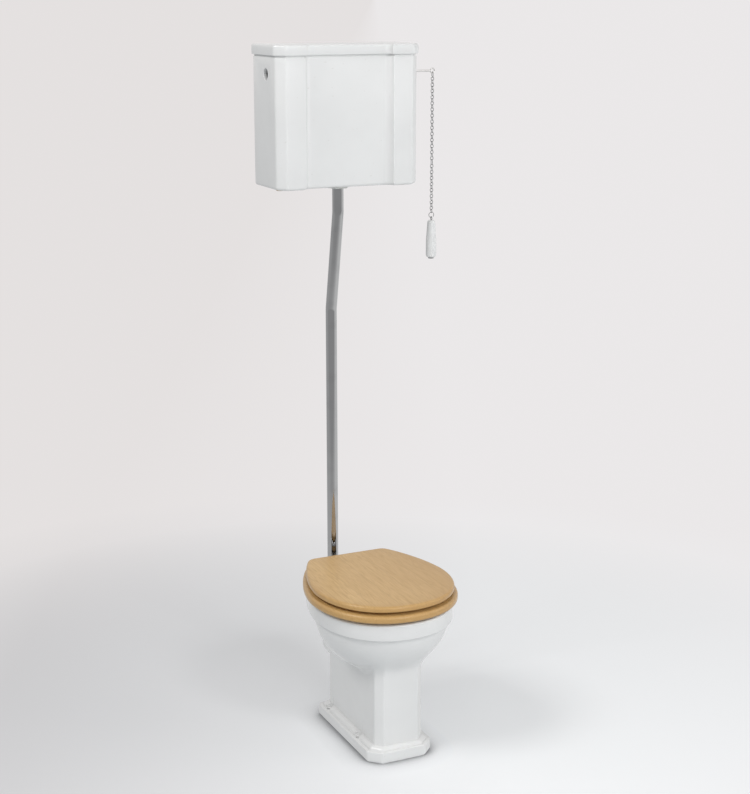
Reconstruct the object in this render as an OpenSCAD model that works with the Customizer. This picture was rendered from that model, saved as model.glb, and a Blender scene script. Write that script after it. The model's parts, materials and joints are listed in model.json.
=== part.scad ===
// High tank pull chain toilet: pan, seat, flush pipe, tank and pull chain.
// The origin is the middle of the four floor screw holes on the floor, with +Z up.
// The wall behind the tank lies towards +Y, and the front of the pan faces -Y.

/* [Place in the room] */
// Distance from the straight back of the pan's shelf to the wall
shelf_wall_gap = 95; // [88:1:140]
// Height of the tank's underside above the floor
tank_base_z = 1450; // [1350:5:1700]

/* [Pan rim] */
// Height of the rim's top
rim_z = 400; // [385:1:430]
// Height of the upright band round the rim
rim_band = 42; // [36:1:48]
// Half the width of the rim
rim_half_w = 181; // [172:1:190]
// Rim's reach forward from its widest place
rim_front = 206; // [190:1:220]
// Reach of the curve that closes the rim's sides behind the widest place
rim_rear = 330; // [300:1:360]
// Place of the rim's widest place along Y
rim_mid_y = -65; // [-72:1:-58]
// Distance from the widest place to the straight back of the shelf
shelf_reach = 250; // [244:1:262]
// Rounding of the rim's upper edge
rim_round = 6; // [3:0.5:9]
// Half the width of the opening in the rim
opening_half_w = 118; // [108:1:126]
// Opening's reach forward from the widest place
opening_front = 142; // [130:1:152]
// Opening's reach backward from the widest place
opening_rear = 128; // [116:1:134]
// Thickness of the rim's top plate and of its hanging inner lip
lip_wall = 10; // [8:0.5:12]
// Height of the channel under the rim's top plate
channel_h = 36; // [30:1:38]

/* [Pan bowl] */
// Half the width of the bowl where it leaves the rim
bowl_half_w = 175; // [166:1:178]
// Bowl's reach forward from the widest place
bowl_front = 188; // [178:1:196]
// Bowl's reach backward from the widest place
bowl_rear = 225; // [215:1:235]
// Distance from the widest place to the flat back of the bowl's inside
cavity_back = 165; // [158:1:172]
// Depth of the bowl's outside below the rim band
bowl_depth = 156; // [148:1:165]
// Thickness of the bowl's wall
bowl_wall = 15; // [12:0.5:17]
// Fullness of the bowl's outline, where 2 is a plain ellipse
bowl_power = 1.81; // [1.6:0.01:2.2]

/* [Pedestal] */
// Place of the plinth's middle along Y
plinth_mid_y = -35; // [-40:1:-30]
// Width of the plinth
plinth_w = 185; // [178:1:195]
// Depth of the plinth from front to back
plinth_d = 355; // [340:1:370]
// Height of the plinth's upright edge
plinth_h = 30; // [24:1:36]
// Cut across the plinth's front corners
plinth_chamfer = 30; // [20:1:34]
// Cut across the back corners of the plinth and the column
back_chamfer = 8; // [5:1:16]
// Width of the level ledge on the plinth outside the moulding
ledge_w = 10; // [7:0.5:12]
// Height of the moulding that runs from the ledge up to the column
cove_h = 10; // [7:1:16]
// Width of the column
column_w = 135; // [130:1:140]
// Step from the plinth's front back to the column
column_setback = 18.5; // [14:0.5:24]
// Cut across the column's corners
column_chamfer = 19; // [12:1:24]
// Thickness of the column's wall
column_wall = 11; // [8:0.5:12]
// Radius of the floor screw holes
screw_hole_r = 4.5; // [3.5:0.25:5.5]
// Distance between the left and right screw holes
screw_span_x = 160; // [158:1:162]
// Distance between the front and back screw holes
screw_span_y = 191; // [180:1:200]
// Radius of the flat round each screw hole
screw_flat_r = 13; // [11:0.5:15]

/* [Trap and horn] */
// Outer radius of the waste spigot
spigot_r = 51; // [49:0.5:53]
// Thickness of the trap's wall
trap_wall = 9; // [7:0.5:11]
// Height of the waste spigot's axis
spigot_z = 185; // [180:1:190]
// How far the spigot stands out behind the column
spigot_len = 77; // [60:1:90]
// Distance from the bowl's widest place back to the middle of the sump
sump_back = 29; // [24:1:34]
// Depth of the trap's low passage below the spigot's axis
passage_drop = 115; // [110:1:118]
// Distance from the column's back forward to the trap's rising leg
leg_inset = 48; // [46:1:52]
// Outer radius of the flush horn
horn_r = 27; // [25:0.5:29]
// Radius of the horn's bore
horn_bore_r = 20; // [18:0.5:22]
// Depth of the horn's axis below the rim's top
horn_drop = 55; // [52:1:58]
// How far the horn's mouth stands out behind the shelf
horn_proud = 4; // [2:0.5:8]

/* [Flush pipe] */
// Outer radius of the flush pipe
pipe_r = 15; // [13:0.25:16]
// Wall of the flush pipe
pipe_wall = 1.2; // [0.8:0.1:1.6]
// Distance from the wall to the upright lower pipe
pipe_wall_gap = 37; // [30:1:45]
// Distance from the wall to the tank's outlet
outlet_gap = 86; // [82:1:90]
// Depth of the upper bend below the tank
upper_bend_drop = 72; // [50:1:90]
// Height between the two bends
offset_drop = 265; // [200:5:320]
// Radius of the two small bends at the pipe's middle line
offset_bend_r = 60; // [45:1:90]
// Radius of the bottom bend at the pipe's middle line
foot_bend_r = 36; // [32:1:38]
// Height of the joint between the two lengths of pipe
joint_z = 1040; // [900:5:1060]
// Length of the sleeve inside the joint
sleeve_len = 70; // [50:1:90]

/* [Tank] */
// Width of the tank
tank_w = 393; // [380:1:420]
// Depth of the tank
tank_d = 170; // [166:1:180]
// Height of the tank without its lid
tank_h = 331; // [310:1:350]
// Wall of the tank
tank_wall = 9; // [7:0.5:10]
// Floor of the tank
tank_floor = 12; // [9:0.5:14]
// Cut across the tank's front corners
tank_chamfer = 22; // [14:1:28]
// Distance between the inner edges of the two front wings
wing_gap = 242; // [220:1:256]
// Radius of the coves beside the sunk front panel
wing_cove_r = 20; // [14:1:22]
// Rounding of the tank's lower edges
tank_round = 9; // [5:0.5:11]
// Radius of the hole in each side of the tank
side_hole_r = 14; // [13:0.25:15]
// Height of the side holes above the tank's underside
side_hole_rise = 286; // [276:1:292]
// Radius of the wall screw holes in the tank's back
wall_hole_r = 4; // [3:0.25:5]
// Distance between the two wall screw holes
wall_hole_span = 260; // [220:1:280]
// Depth of the wall screw holes below the tank's top
wall_hole_drop = 30; // [24:1:40]

/* [Tank lid] */
// How far the lid stands out past the tank
lid_overhang = 4.6; // [3:0.1:7]
// Height of the lid's upright edge and top together
tank_lid_h = 25.6; // [20:0.1:32]
// Height of the shadow gap under the lid
shadow_gap = 2.5; // [1.5:0.1:4]
// Wall of the lid
tank_lid_wall = 8; // [6:0.5:10]
// Depth of the lip that keeps the lid in place
tank_lip_h = 12; // [8:1:16]
// Rounding of the lid's upper edge
tank_lid_round = 5; // [3:0.5:7]

/* [Seat] */
// Half the width of the seat ring
ring_half_w = 195; // [188:1:200]
// Ring's reach forward from the rim's widest place
ring_front = 216; // [208:1:224]
// Distance from the hinge bar forward to the ring's back edge
ring_hinge_gap = 9; // [8:0.5:13]
// Thickness of the seat ring
ring_t = 20; // [16:0.5:24]
// Half the width of the hole in the ring
ring_hole_half_w = 112; // [104:1:118]
// Hole's reach forward from the widest place
ring_hole_front = 136; // [126:1:144]
// Hole's reach backward from the widest place
ring_hole_rear = 124; // [114:1:130]
// Height of the buffers under the ring
ring_buffer_h = 8; // [7:0.5:10]
// Radius of the buffers under the ring
ring_buffer_r = 8; // [6:0.5:9]
// Distance of the ring's buffers from the middle, left and right
ring_buffer_x = 149; // [144:1:152]
// Distance from the widest place forward to the ring's front buffers
ring_buffer_front = 80; // [60:1:100]
// Distance from the widest place back to the ring's rear buffers
ring_buffer_rear = 92; // [80:1:105]
// Half the width of the seat lid
lid_half_w = 185; // [178:1:192]
// Lid's reach forward from its widest place
lid_front = 202; // [194:1:210]
// How far the lid's widest place lies in front of the ring's
lid_shift = 5; // [0:1:10]
// Distance from the hinge bar forward to the lid's back edge
lid_hinge_gap = 19; // [14:0.5:24]
// Thickness of the seat lid
lid_t = 16; // [13:0.5:20]
// Height of the buffers under the lid
lid_buffer_h = 7; // [7:0.5:10]
// Radius of the buffers under the lid
lid_buffer_r = 7; // [5:0.5:8]
// Distance between the two front buffers under the lid
lid_buffer_span = 120; // [100:1:140]
// Distance from the lid's front edge back to its front buffers
lid_buffer_inset = 50; // [40:1:60]
// Distance of the lid's rear buffers from the middle, left and right
lid_buffer_rear_x = 128; // [118:1:136]
// Distance from the lid's widest place back to its rear buffers
lid_buffer_rear = 120; // [105:1:125]

/* [Seat hinge] */
// Distance from the shelf's straight back forward to the hinge bar
hinge_inset = 16; // [14:0.5:18]
// Radius of the hinge bar
bar_r = 4.5; // [4:0.25:5]
// Wall of the knuckles round the bar
knuckle_wall = 2.4; // [2:0.1:2.6]
// Distance between the two hinge pillars
pillar_span = 155; // [145:1:165]
// Radius of the pillars' feet
pillar_foot_r = 13; // [11:0.5:15]
// Width of each strap
strap_w = 24; // [18:1:26]
// Thickness of the straps' leaves
strap_t = 2; // [1.5:0.1:2.2]
// Length of the straps' leaves on the wood
strap_len = 62; // [50:1:75]
// Radius of the fixing studs
stud_r = 4; // [3.5:0.25:4.5]
// Radius of the holes for the fixing studs
stud_hole_r = 7; // [6:0.25:8]

/* [Flush gear] */
// Radius of the siphon's bell
bell_r = 44; // [40:0.5:46]
// Height of the siphon's bell
bell_h = 76; // [70:1:84]
// Outer radius of the siphon's tubes
leg_r = 18; // [17:0.25:18.5]
// Wall of the siphon
siphon_wall = 2.5; // [2:0.25:3]
// Height of the crown's middle above the tank's floor
crown_rise = 176; // [160:1:190]
// Radius of the siphon's threaded tail
tail_r = 19; // [18:0.25:20]
// How far the threaded tails stand out under the tank
tail_proud = 9; // [8:0.5:12]
// Radius of the lift rod
lift_rod_r = 3; // [2.5:0.25:3.5]

/* [Lever and chain] */
// Radius of the lever
lever_r = 3; // [2.5:0.25:3.25]
// Distance from the tank's side out to the middle of the lever's eye
lever_out = 77; // [70:1:95]
// Radius of the lever's eye at the wire's middle
eye_r = 6; // [5:0.25:7]
// Radius of the lever's eye wire
eye_wire = 1.9; // [1.5:0.1:2.2]
// Radius of the chain's wire
wire_r = 0.95; // [0.8:0.05:1.1]
// Inner length of a chain link
link_len = 8.1; // [7.6:0.1:9]
// Inner width of a chain link
link_w = 5.7; // [5:0.1:6.2]
// Links above the joining link
upper_links = 27; // [3:2:41]
// Links below the joining link
lower_links = 16; // [2:2:40]
// Inner length of the joining link
joining_len = 13; // [11:0.5:16]
// Radius of the pull ring at the wire's middle
pull_ring_r = 7.2; // [6.5:0.1:9]
// Length of the pull handle
handle_len = 104; // [90:1:120]
// Radius of the handle's neck
handle_neck_r = 9.5; // [8:0.25:11]
// Largest radius of the handle
handle_r = 14; // [12:0.25:16]

/* [Float valve] */
// Distance from the tank's middle to the float valve
valve_reach = 146; // [140:1:156]
// Distance from the wall to the float valve
valve_gap = 48; // [44:1:56]
// Radius of the valve's threaded tail
valve_tail_r = 10.5; // [9.5:0.1:11]
// Length of the valve's tail below its nut
supply_len = 7; // [6:0.5:12]
// Thickness of the valve's nut
valve_nut_h = 4; // [3.5:0.5:7]
// Height of the valve's head above the tank's floor
valve_rise = 226; // [200:1:240]
// Length of the float arm
float_arm_len = 82; // [78:1:86]
// Radius of the float ball
float_r = 36; // [30:1:40]
// Slope of the float arm in the empty tank, in degrees
float_slope = 28; // [20:1:34]

/* [Hidden] */
$fn = 64;
OUTLINE_STEPS = 64;      // points round each egg-shaped outline
FRONT_POWER = 2.15;      // fullness of the outlines in front of the widest place
REAR_POWER = 1.6;        // fullness behind it, which draws the sides in flatter
FIT = 0.3;               // gap between pieces that meet but don't share a face
RUNNING = 0.1;           // radial gap of a shaft in its bore
EPS = 0.01;
PIPE_SIDES = 48;         // sides of the bent upper pipe
BEND_STEPS = 3;          // steps in each of its two bends
CONE_DEPTH = 18;         // how far the rubber cone goes into the horn
OVER = 1;                // how far cutting shapes run past the faces they cut
LINK_GAP = 0.1;          // play between two links of the chain
CHINA = "#eef0ef";
OAK = "#d6ae78";
CHROME = "#b9bfc2";
BRASS = "#b8913f";
RUBBER = "#2c2c2c";
PLASTIC = "#e8e8e4";

// Pan
band_z = rim_z - rim_band;
back_y = rim_mid_y + shelf_reach;
wall_y = back_y + shelf_wall_gap;
lip_z = rim_z - lip_wall - channel_h;
cavity_depth = lip_z - (band_z - bowl_depth) - bowl_wall + 3;
column_front_y = plinth_mid_y - plinth_d / 2 + column_setback;
column_back_y = plinth_mid_y + plinth_d / 2 - column_setback;
cove_step = (plinth_w - column_w) / 2;
way_r = spigot_r - trap_wall;
sump_y = rim_mid_y + sump_back;
sump_r = way_r - 6;
leg_y = column_back_y - leg_inset;
leg_bore_r = way_r - 9;
passage_z = spigot_z - passage_drop;
passage_r = way_r - 15;
spigot_y = column_back_y + spigot_len;
horn_z = rim_z - horn_drop;
horn_y = back_y + horn_proud;
horn_start_y = rim_mid_y + cavity_back - bowl_wall - OVER;

// Flush pipe
outlet_y = wall_y - outlet_gap;
pipe_y = wall_y - pipe_wall_gap;
upper_bend_z = tank_base_z - upper_bend_drop;
lower_bend_z = upper_bend_z - offset_drop;
offset_angle = atan2(pipe_y - outlet_y, offset_drop);
bend_trim = offset_bend_r * tan(offset_angle / 2);
foot_z = horn_z + foot_bend_r;
pipe_end_y = horn_y - 14;

// Tank
front_y = wall_y - tank_d;
tank_top_z = tank_base_z + tank_h;
floor_z = tank_base_z + tank_floor;
cove_x = wing_gap / 2 - wing_cove_r;
side_hole_z = tank_base_z + side_hole_rise;

// Seat
ring_z = rim_z + ring_buffer_h;
ring_top_z = ring_z + ring_t;
lid_z = ring_top_z + lid_buffer_h;
lid_mid_y = rim_mid_y - lid_shift;
hinge_y = back_y - hinge_inset;
ring_back = hinge_y - ring_hinge_gap - rim_mid_y;
lid_back = hinge_y - lid_hinge_gap - lid_mid_y;
hinge_z = (ring_top_z + lid_z) / 2;
knuckle_r = bar_r + RUNNING + knuckle_wall;
pillar_x = pillar_span / 2;
bar_half = pillar_x + 13;
ring_strap_x = pillar_x - 11 - strap_w / 2;
lid_strap_x = ring_strap_x - strap_w - 2;

// Flush gear
up_leg_x = 2 * leg_r + 4;
bell_x = bell_r + leg_r + 2;
bell_z = floor_z + 12;
bell_top_z = bell_z + bell_h;
crown_z = floor_z + crown_rise;
plate_z = bell_z + 6;
flange_z = floor_z + 3;
pivot_x = tank_w / 2 - tank_wall / 2;
inner_arm = pivot_x - bell_x;
loop_h = 2 * lever_r + 3;

// Chain
eye_x = tank_w / 2 + lever_out;
hanger_z = side_hole_z - eye_r + eye_wire + LINK_GAP - joining_len / 2;
joint_link_z = next_z(hanger_z, joining_len, link_len) - (upper_links - 1) * (link_len - LINK_GAP)
    - (link_len + joining_len) / 2 + LINK_GAP;
lower_first_z = next_z(joint_link_z, joining_len, link_len);
last_link_z = lower_first_z - (lower_links - 1) * (link_len - LINK_GAP);
last_wire_z = last_link_z - link_len / 2 - wire_r;
pull_ring_z = last_wire_z + 2 * wire_r + LINK_GAP - pull_ring_r;
ring_wire_z = pull_ring_z - pull_ring_r;
handle_eye_r = 4;
handle_eye_z = ring_wire_z + 2 * wire_r + 0.25 + LINK_GAP - handle_eye_r;
handle_top_z = handle_eye_z - handle_eye_r - 1;
handle_rod_r = 1.6;
handle_bore_r = 2;

// Float valve
valve_x = -valve_reach;
valve_y = wall_y - valve_gap;
valve_head_z = floor_z + valve_rise;
supply_z = tank_base_z - valve_nut_h - 1.2 - supply_len;
float_pivot_x = valve_x + 20;
fill_r = 5;
fill_reach = 13;
float_x = float_pivot_x + float_arm_len * cos(float_slope);
float_z = valve_head_z - float_arm_len * sin(float_slope);

// Centre height of the link that hangs under a link at height z
function next_z(z, len_a, len_b) = z - (len_a + len_b) / 2 + LINK_GAP;

// Distance from the middle to an egg-shaped outline at angle q, cut off straight at the back
function egg_r(q, half_w, front, rear, back) =
    let (behind = sin(q) > 0,
         n = behind ? REAR_POWER : FRONT_POWER,
         reach = behind ? rear : front,
         r = pow(pow(abs(cos(q)) / half_w, n) + pow(abs(sin(q)) / reach, n), -1 / n))
    behind ? min(r, back / sin(q)) : r;

// Egg-shaped outline round the origin, wide at the sides and straight at the back
function egg(half_w, front, rear, back) =
    [for (i = [0:OUTLINE_STEPS - 1])
        let (q = 360 * (i + 0.5) / OUTLINE_STEPS, r = egg_r(q, half_w, front, rear, back))
        [r * cos(q), r * sin(q)]];

// An outline at height z, moved back by y
function level(outline, z, y = 0) = [for (p = outline) [p[0], p[1] + y, z]];

// Faces between the rings of a loft, which all have n points
function skin(n, m, wrap = false) =
    [for (j = [0:m - (wrap ? 1 : 2)], i = [0:n - 1])
        let (a = j * n, b = ((j + 1) % m) * n, k = (i + 1) % n)
        each [[a + i, b + i, b + k], [a + i, b + k, a + k]]];

// Solid through a stack of rings, the lowest first
module loft(rings) {
    n = len(rings[0]);
    m = len(rings);
    polyhedron([for (r = rings) each r],
        concat([[for (i = [0:n - 1]) i]], [[for (i = [n - 1:-1:0]) (m - 1) * n + i]], skin(n, m)));
}

// Solid ring through outlines that go once round its section: up outside and down inside
module loft_ring(rings) {
    polyhedron([for (r = rings) each r], skin(len(rings[0]), len(rings), true));
}

// Oblong with four cut corners
function cut_corners(w, front, back, chamfer, back_chamfer) =
    [[-w / 2, back - back_chamfer], [-w / 2, front + chamfer], [-w / 2 + chamfer, front],
        [w / 2 - chamfer, front], [w / 2, front + chamfer], [w / 2, back - back_chamfer],
        [w / 2 - back_chamfer, back], [-w / 2 + back_chamfer, back]];

module cut_corner_plate(w, front, back, chamfer, back_chamfer) {
    polygon(cut_corners(w, front, back, chamfer, back_chamfer));
}

// Copies of a piece at equal distances left and right of the middle
module both_sides(x) {
    for (side = [-1, 1]) translate([side * x, 0, 0]) children();
}

// Tube along Z
module tube(r_out, r_in, h) {
    difference() {
        cylinder(r = r_out, h = h);
        translate([0, 0, -OVER]) cylinder(r = r_in, h = h + 2 * OVER);
    }
}

// Torus whose axis is Z
module torus(major, minor) {
    rotate_extrude() translate([major, 0]) circle(r = minor, $fn = 24);
}

// ---- Pan ----

// Place of the four floor screws
module at_screws() {
    for (x = [-1, 1], y = [-1, 1])
        translate([x * screw_span_x / 2, y * screw_span_y / 2, 0]) children();
}

// Outline of the cove at one height, drawn in from the plinth's edge
function cove_ring(in, z) =
    level(cut_corners(plinth_w - 2 * in, -plinth_d / 2 + in * column_setback / cove_step,
        plinth_d / 2 - in * column_setback / cove_step,
        plinth_chamfer - (plinth_chamfer - column_chamfer) * in / cove_step,
        back_chamfer), z, plinth_mid_y);

// Plinth with its ledge and the moulding up to the column, cut away round the screws
module plinth() {
    translate([0, plinth_mid_y, 0]) linear_extrude(plinth_h)
        cut_corner_plate(plinth_w, -plinth_d / 2, plinth_d / 2, plinth_chamfer, back_chamfer);
    difference() {
        loft([for (i = [-1:5]) let (q = 90 * max(0, i) / 5)
            cove_ring(ledge_w + (cove_step - ledge_w) * (1 - cos(q)),
                plinth_h + (i < 0 ? -OVER : cove_h * sin(q)))]);
        at_screws() translate([0, 0, plinth_h]) cylinder(r = screw_flat_r, h = cove_h + OVER);
    }
}

module column() {
    linear_extrude(band_z - bowl_depth / 2)
        cut_corner_plate(column_w, column_front_y, column_back_y, column_chamfer, back_chamfer);
}

// Hollow of the column, open at the floor
module column_hollow() {
    translate([0, 0, -OVER])
        linear_extrude(band_z - bowl_depth * 0.6 + OVER)
            cut_corner_plate(column_w - 2 * column_wall, column_front_y + column_wall,
                column_back_y - column_wall, column_chamfer - 4, column_chamfer - 4);
}

// Upright block behind the bowl that carries the shelf
module shelf_block() {
    translate([-column_w / 2, column_back_y - 84, band_z - bowl_depth])
        cube([column_w, 84, bowl_depth]);
}

// One level of the bowl: u runs from 0 at the rim to 90 at the bottom
function bowl_ring(u, in, back, top_z, depth) =
    let (g = pow(cos(u), 2 / bowl_power), s = pow(sin(u), 2 / bowl_power))
    level(egg((bowl_half_w - in) * g, (bowl_front - in) * g, (bowl_rear - in) * g, back * g),
        top_z - depth * s, rim_mid_y);

function bowl_rings(in, back, top_z, depth, n) =
    [for (i = [0:n]) bowl_ring(84 * (1 - i / n), in, back, top_z, depth)];

function rim_ring(in, z) =
    level(egg(rim_half_w - in, rim_front - in, rim_rear - in, shelf_reach - in), z, rim_mid_y);

// Bowl and rim band in one form
module basin() {
    loft(concat(bowl_rings(0, bowl_rear, band_z, bowl_depth, 12),
        [rim_ring(3, band_z), rim_ring(0, band_z + 3), rim_ring(0, rim_z - rim_round),
        rim_ring(rim_round * 0.3, rim_z - rim_round * 0.3), rim_ring(rim_round, rim_z)]));
}

// Outline of the rim's opening, grown by a distance
function opening_ring(out, z) =
    level(egg(opening_half_w + out, opening_front + out, opening_rear * 1.45 + out, opening_rear + out),
        z, rim_mid_y);

// Space inside the bowl, up into the channel, round the hanging lip and out of the opening
module basin_hollow() {
    wide = bowl_rings(bowl_wall, cavity_back, lip_z, cavity_depth, 11);
    loft(concat(wide, [[for (p = wide[11]) [p[0], p[1], lip_z + channel_h]],
        opening_ring(lip_wall, lip_z + channel_h), opening_ring(lip_wall, lip_z),
        opening_ring(0, lip_z), opening_ring(0, rim_z + OVER)]));
}

module along_y(y, z) {
    translate([0, y, z]) rotate([-90, 0, 0]) children();
}

// Water way of the trap, grown by a distance: sump, passage, rising leg and outlet
module trap_way(out) {
    translate([0, sump_y, passage_z - passage_r - 1.5 - out])
        cylinder(r = sump_r + out, h = band_z - bowl_depth + 30 - passage_z + passage_r + out);
    along_y(sump_y, passage_z) cylinder(r = passage_r + out - (out > 0 ? 1 : 0), h = leg_y - sump_y);
    translate([0, leg_y, passage_z - passage_r - 0.8 - out])
        cylinder(r = leg_bore_r + out, h = spigot_z + 10 - passage_z + passage_r + 1.8 * out);
    start_y = leg_y - leg_bore_r + 10 - out;
    if (out > 0) {
        along_y(start_y, spigot_z) cylinder(r = way_r + out - 1, h = column_back_y + 3 - start_y);
        along_y(column_back_y + 2, spigot_z) cylinder(r = way_r + out, h = spigot_y - column_back_y - 2);
    } else
        along_y(start_y, spigot_z) cylinder(r = way_r, h = spigot_y - start_y);
}

module horn() {
    along_y(horn_start_y, horn_z) cylinder(r = horn_r, h = horn_y - horn_start_y);
}

module horn_bore() {
    along_y(rim_mid_y + opening_rear + lip_wall + 4, horn_z)
        cylinder(r = horn_bore_r, h = horn_y - rim_mid_y - opening_rear - lip_wall - 4 + OVER);
}

// Space of the rim: all above its band's lower edge, and the lip that hangs below that
module rim_zone() {
    translate([-rim_half_w - 20, rim_mid_y - rim_front - 20, band_z])
        cube([2 * rim_half_w + 40, rim_front + shelf_reach + 60, rim_band + 20]);
    loft([for (z = [lip_z - OVER, band_z + OVER]) opening_ring(lip_wall + 2, z)]);
}

// Hollow foot: plinth, chamfered column, and the block behind the bowl
module pan_foot() {
    color(CHINA)
    difference() {
        union() {
            plinth();
            column();
            shelf_block();
        }
        column_hollow();
        basin();
        horn();
        trap_way(trap_wall);
        at_screws() translate([0, 0, -OVER]) cylinder(r = screw_hole_r, h = plinth_h + 2 * OVER);
    }
}

// Bowl with the flush horn behind it
module pan_bowl() {
    color(CHINA)
    difference() {
        union() {
            difference() {
                basin();
                rim_zone();
            }
            horn();
        }
        basin_hollow();
        trap_way(0);
        horn_bore();
    }
}

// Rim with its band, top plate, hanging lip and the water channel between them
module pan_rim() {
    color(CHINA)
    difference() {
        intersection() {
            basin();
            rim_zone();
        }
        basin_hollow();
        horn();
        both_sides(pillar_x)
            translate([0, hinge_y, band_z - OVER]) cylinder(r = stud_hole_r, h = rim_band + 2 * OVER);
    }
}

// Trap under the bowl, with the waste spigot
module pan_trap() {
    color(CHINA)
    difference() {
        trap_way(trap_wall);
        trap_way(0);
        basin();
        along_y(spigot_y - OVER, spigot_z) cylinder(r = way_r, h = 2 * OVER);
    }
}

// ---- Flush pipe ----

module flush_cone() {
    in = pipe_r + FIT / 2;
    out = horn_bore_r - FIT / 2;
    color(RUBBER)
    along_y(horn_y - CONE_DEPTH, horn_z)
        rotate_extrude()
            polygon([[in, 0], [out - 1, 0], [out, 4], [out, CONE_DEPTH + FIT], [horn_r - 1, CONE_DEPTH + FIT],
                [horn_r - 1, CONE_DEPTH + 5], [in + 3, CONE_DEPTH + 9], [in, CONE_DEPTH + 9]]);
}

module lower_path(r, over) {
    translate([0, pipe_y, foot_z]) cylinder(r = r, h = joint_z - foot_z + over);
    translate([0, pipe_y - foot_bend_r, foot_z]) rotate([-90, 0, 0]) rotate([0, -90, 0])
        rotate_extrude(angle = 90) translate([foot_bend_r, 0]) circle(r = r);
    along_y(pipe_end_y - over, horn_z) cylinder(r = r, h = pipe_y - foot_bend_r - pipe_end_y + over);
}

module lower_flush_pipe() {
    color(CHROME) difference() {
        lower_path(pipe_r, 0);
        lower_path(pipe_r - pipe_wall, OVER);
    }
}

// Stations of the upper pipe from the joint upwards: place along Y, height and lean in degrees
function upper_stations() =
    concat([[pipe_y, joint_z, 0]],
        [for (i = [0:BEND_STEPS]) let (q = offset_angle * i / BEND_STEPS)
            [pipe_y - offset_bend_r * (1 - cos(q)), lower_bend_z - bend_trim + offset_bend_r * sin(q), q]],
        [for (i = [BEND_STEPS:-1:0]) let (q = offset_angle * i / BEND_STEPS)
            [outlet_y + offset_bend_r * (1 - cos(q)), upper_bend_z + bend_trim - offset_bend_r * sin(q), q]],
        [[outlet_y, floor_z, 0]]);

// Ring of points across the pipe at a station
function pipe_ring(t, r) =
    [for (i = [0:PIPE_SIDES - 1]) let (q = 360 * (i + 0.5) / PIPE_SIDES)
        [r * cos(q), t[0] + r * sin(q) * cos(t[2]), t[1] + r * sin(q) * sin(t[2])]];

module upper_flush_pipe() {
    way = upper_stations();
    n = len(way);
    color(CHROME)
    loft_ring(concat([for (t = way) pipe_ring(t, pipe_r)],
        [for (i = [n - 1:-1:0]) pipe_ring(way[i], pipe_r - pipe_wall)]));
}

module pipe_sleeve() {
    color(BRASS)
    translate([0, pipe_y, joint_z - sleeve_len / 2])
        tube(pipe_r - pipe_wall - RUNNING, pipe_r - pipe_wall - RUNNING - 1, sleeve_len);
}

// ---- Tank ----

// Right half of the tank's plan, from the panel's side of the cove round to the back
function tank_side(in) =
    let (r = wing_cove_r + in, first = asin(in / r), arc = 6,
         x = tank_w / 2 - in, f = front_y + in, c = tank_chamfer - 0.586 * in)
    concat([for (i = [0:arc]) let (q = 90 - (90 - first) * i / arc)
                [cove_x + r * cos(q), front_y + r * sin(q)]],
        [[x - c, f], [x, f + c], [x, wall_y - max(in, 0)]]);

// The tank's plan, drawn in by a distance on the front and sides
function tank_plan(in) =
    let (right = tank_side(in), n = len(right))
    concat([for (i = [n - 1:-1:0]) [-right[i][0], right[i][1]]], right);

// Quarter of a rounded corner, as points round its centre
function soft_corner(c, r, start) =
    [for (i = [0:4]) [c[0] + r * cos(start + 22.5 * i), c[1] + r * sin(start + 22.5 * i)]];

// Oblong from low to high with rounded lower corners of radius r and upper ones of radius t
function soft_oblong(low, high, r, t) =
    concat(soft_corner([low[0] + r, low[1] + r], r + EPS, 180),
        soft_corner([high[0] - r, low[1] + r], r + EPS, 270),
        soft_corner([high[0] - t, high[1] - t], t + EPS, 0),
        soft_corner([low[0] + t, high[1] - t], t + EPS, 90));

// Upright block on the tank's plan with rounded lower and upper edges on its front and sides
module tank_block(in, z, h, r, t) {
    x = tank_w / 2 - in;
    intersection() {
        translate([0, 0, z]) linear_extrude(h) polygon(tank_plan(in));
        translate([0, wall_y + OVER, 0]) rotate([90, 0, 0]) linear_extrude(2 * tank_d)
            polygon(soft_oblong([-x, z], [x, z + h], r, t));
        translate([-tank_w, 0, 0]) rotate([90, 0, 90]) linear_extrude(2 * tank_w)
            polygon(soft_oblong([front_y + in, z], [wall_y + 4 * r + 4 * t, z + h], r, t));
    }
}

module tank() {
    color(CHINA)
    difference() {
        tank_block(0, tank_base_z, tank_h, tank_round, 1);
        translate([0, 0, floor_z]) linear_extrude(tank_h) polygon(tank_plan(tank_wall));
        translate([0, outlet_y, tank_base_z - OVER]) cylinder(r = tail_r + 1, h = tank_floor + 2 * OVER);
        translate([valve_x, valve_y, tank_base_z - OVER])
            cylinder(r = valve_tail_r + 0.7, h = tank_floor + 2 * OVER);
        translate([-tank_w / 2 - OVER, outlet_y, side_hole_z]) rotate([0, 90, 0])
            cylinder(r = side_hole_r, h = tank_w + 2 * OVER);
        both_sides(wall_hole_span / 2)
            along_y(wall_y - tank_wall - OVER, tank_top_z - wall_hole_drop)
                cylinder(r = wall_hole_r, h = tank_wall + 2 * OVER);
    }
}

module tank_lid() {
    edge_z = tank_top_z + shadow_gap;
    top_z = edge_z + tank_lid_h;
    lip_in = tank_wall + 1;
    color(CHINA)
    difference() {
        union() {
            tank_block(-lid_overhang, edge_z, tank_lid_h, 1, tank_lid_round);
            translate([0, 0, tank_top_z])
                linear_extrude(shadow_gap + OVER) polygon(tank_plan(2));
            translate([0, 0, tank_top_z - tank_lip_h])
                linear_extrude(tank_lip_h + OVER) polygon(tank_plan(lip_in));
        }
        translate([0, 0, tank_top_z - tank_lip_h - OVER])
            linear_extrude(tank_lip_h + OVER + top_z - tank_top_z - tank_lid_wall)
                polygon(tank_plan(lip_in + tank_lid_wall));
    }
}

// ---- Siphon ----

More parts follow.
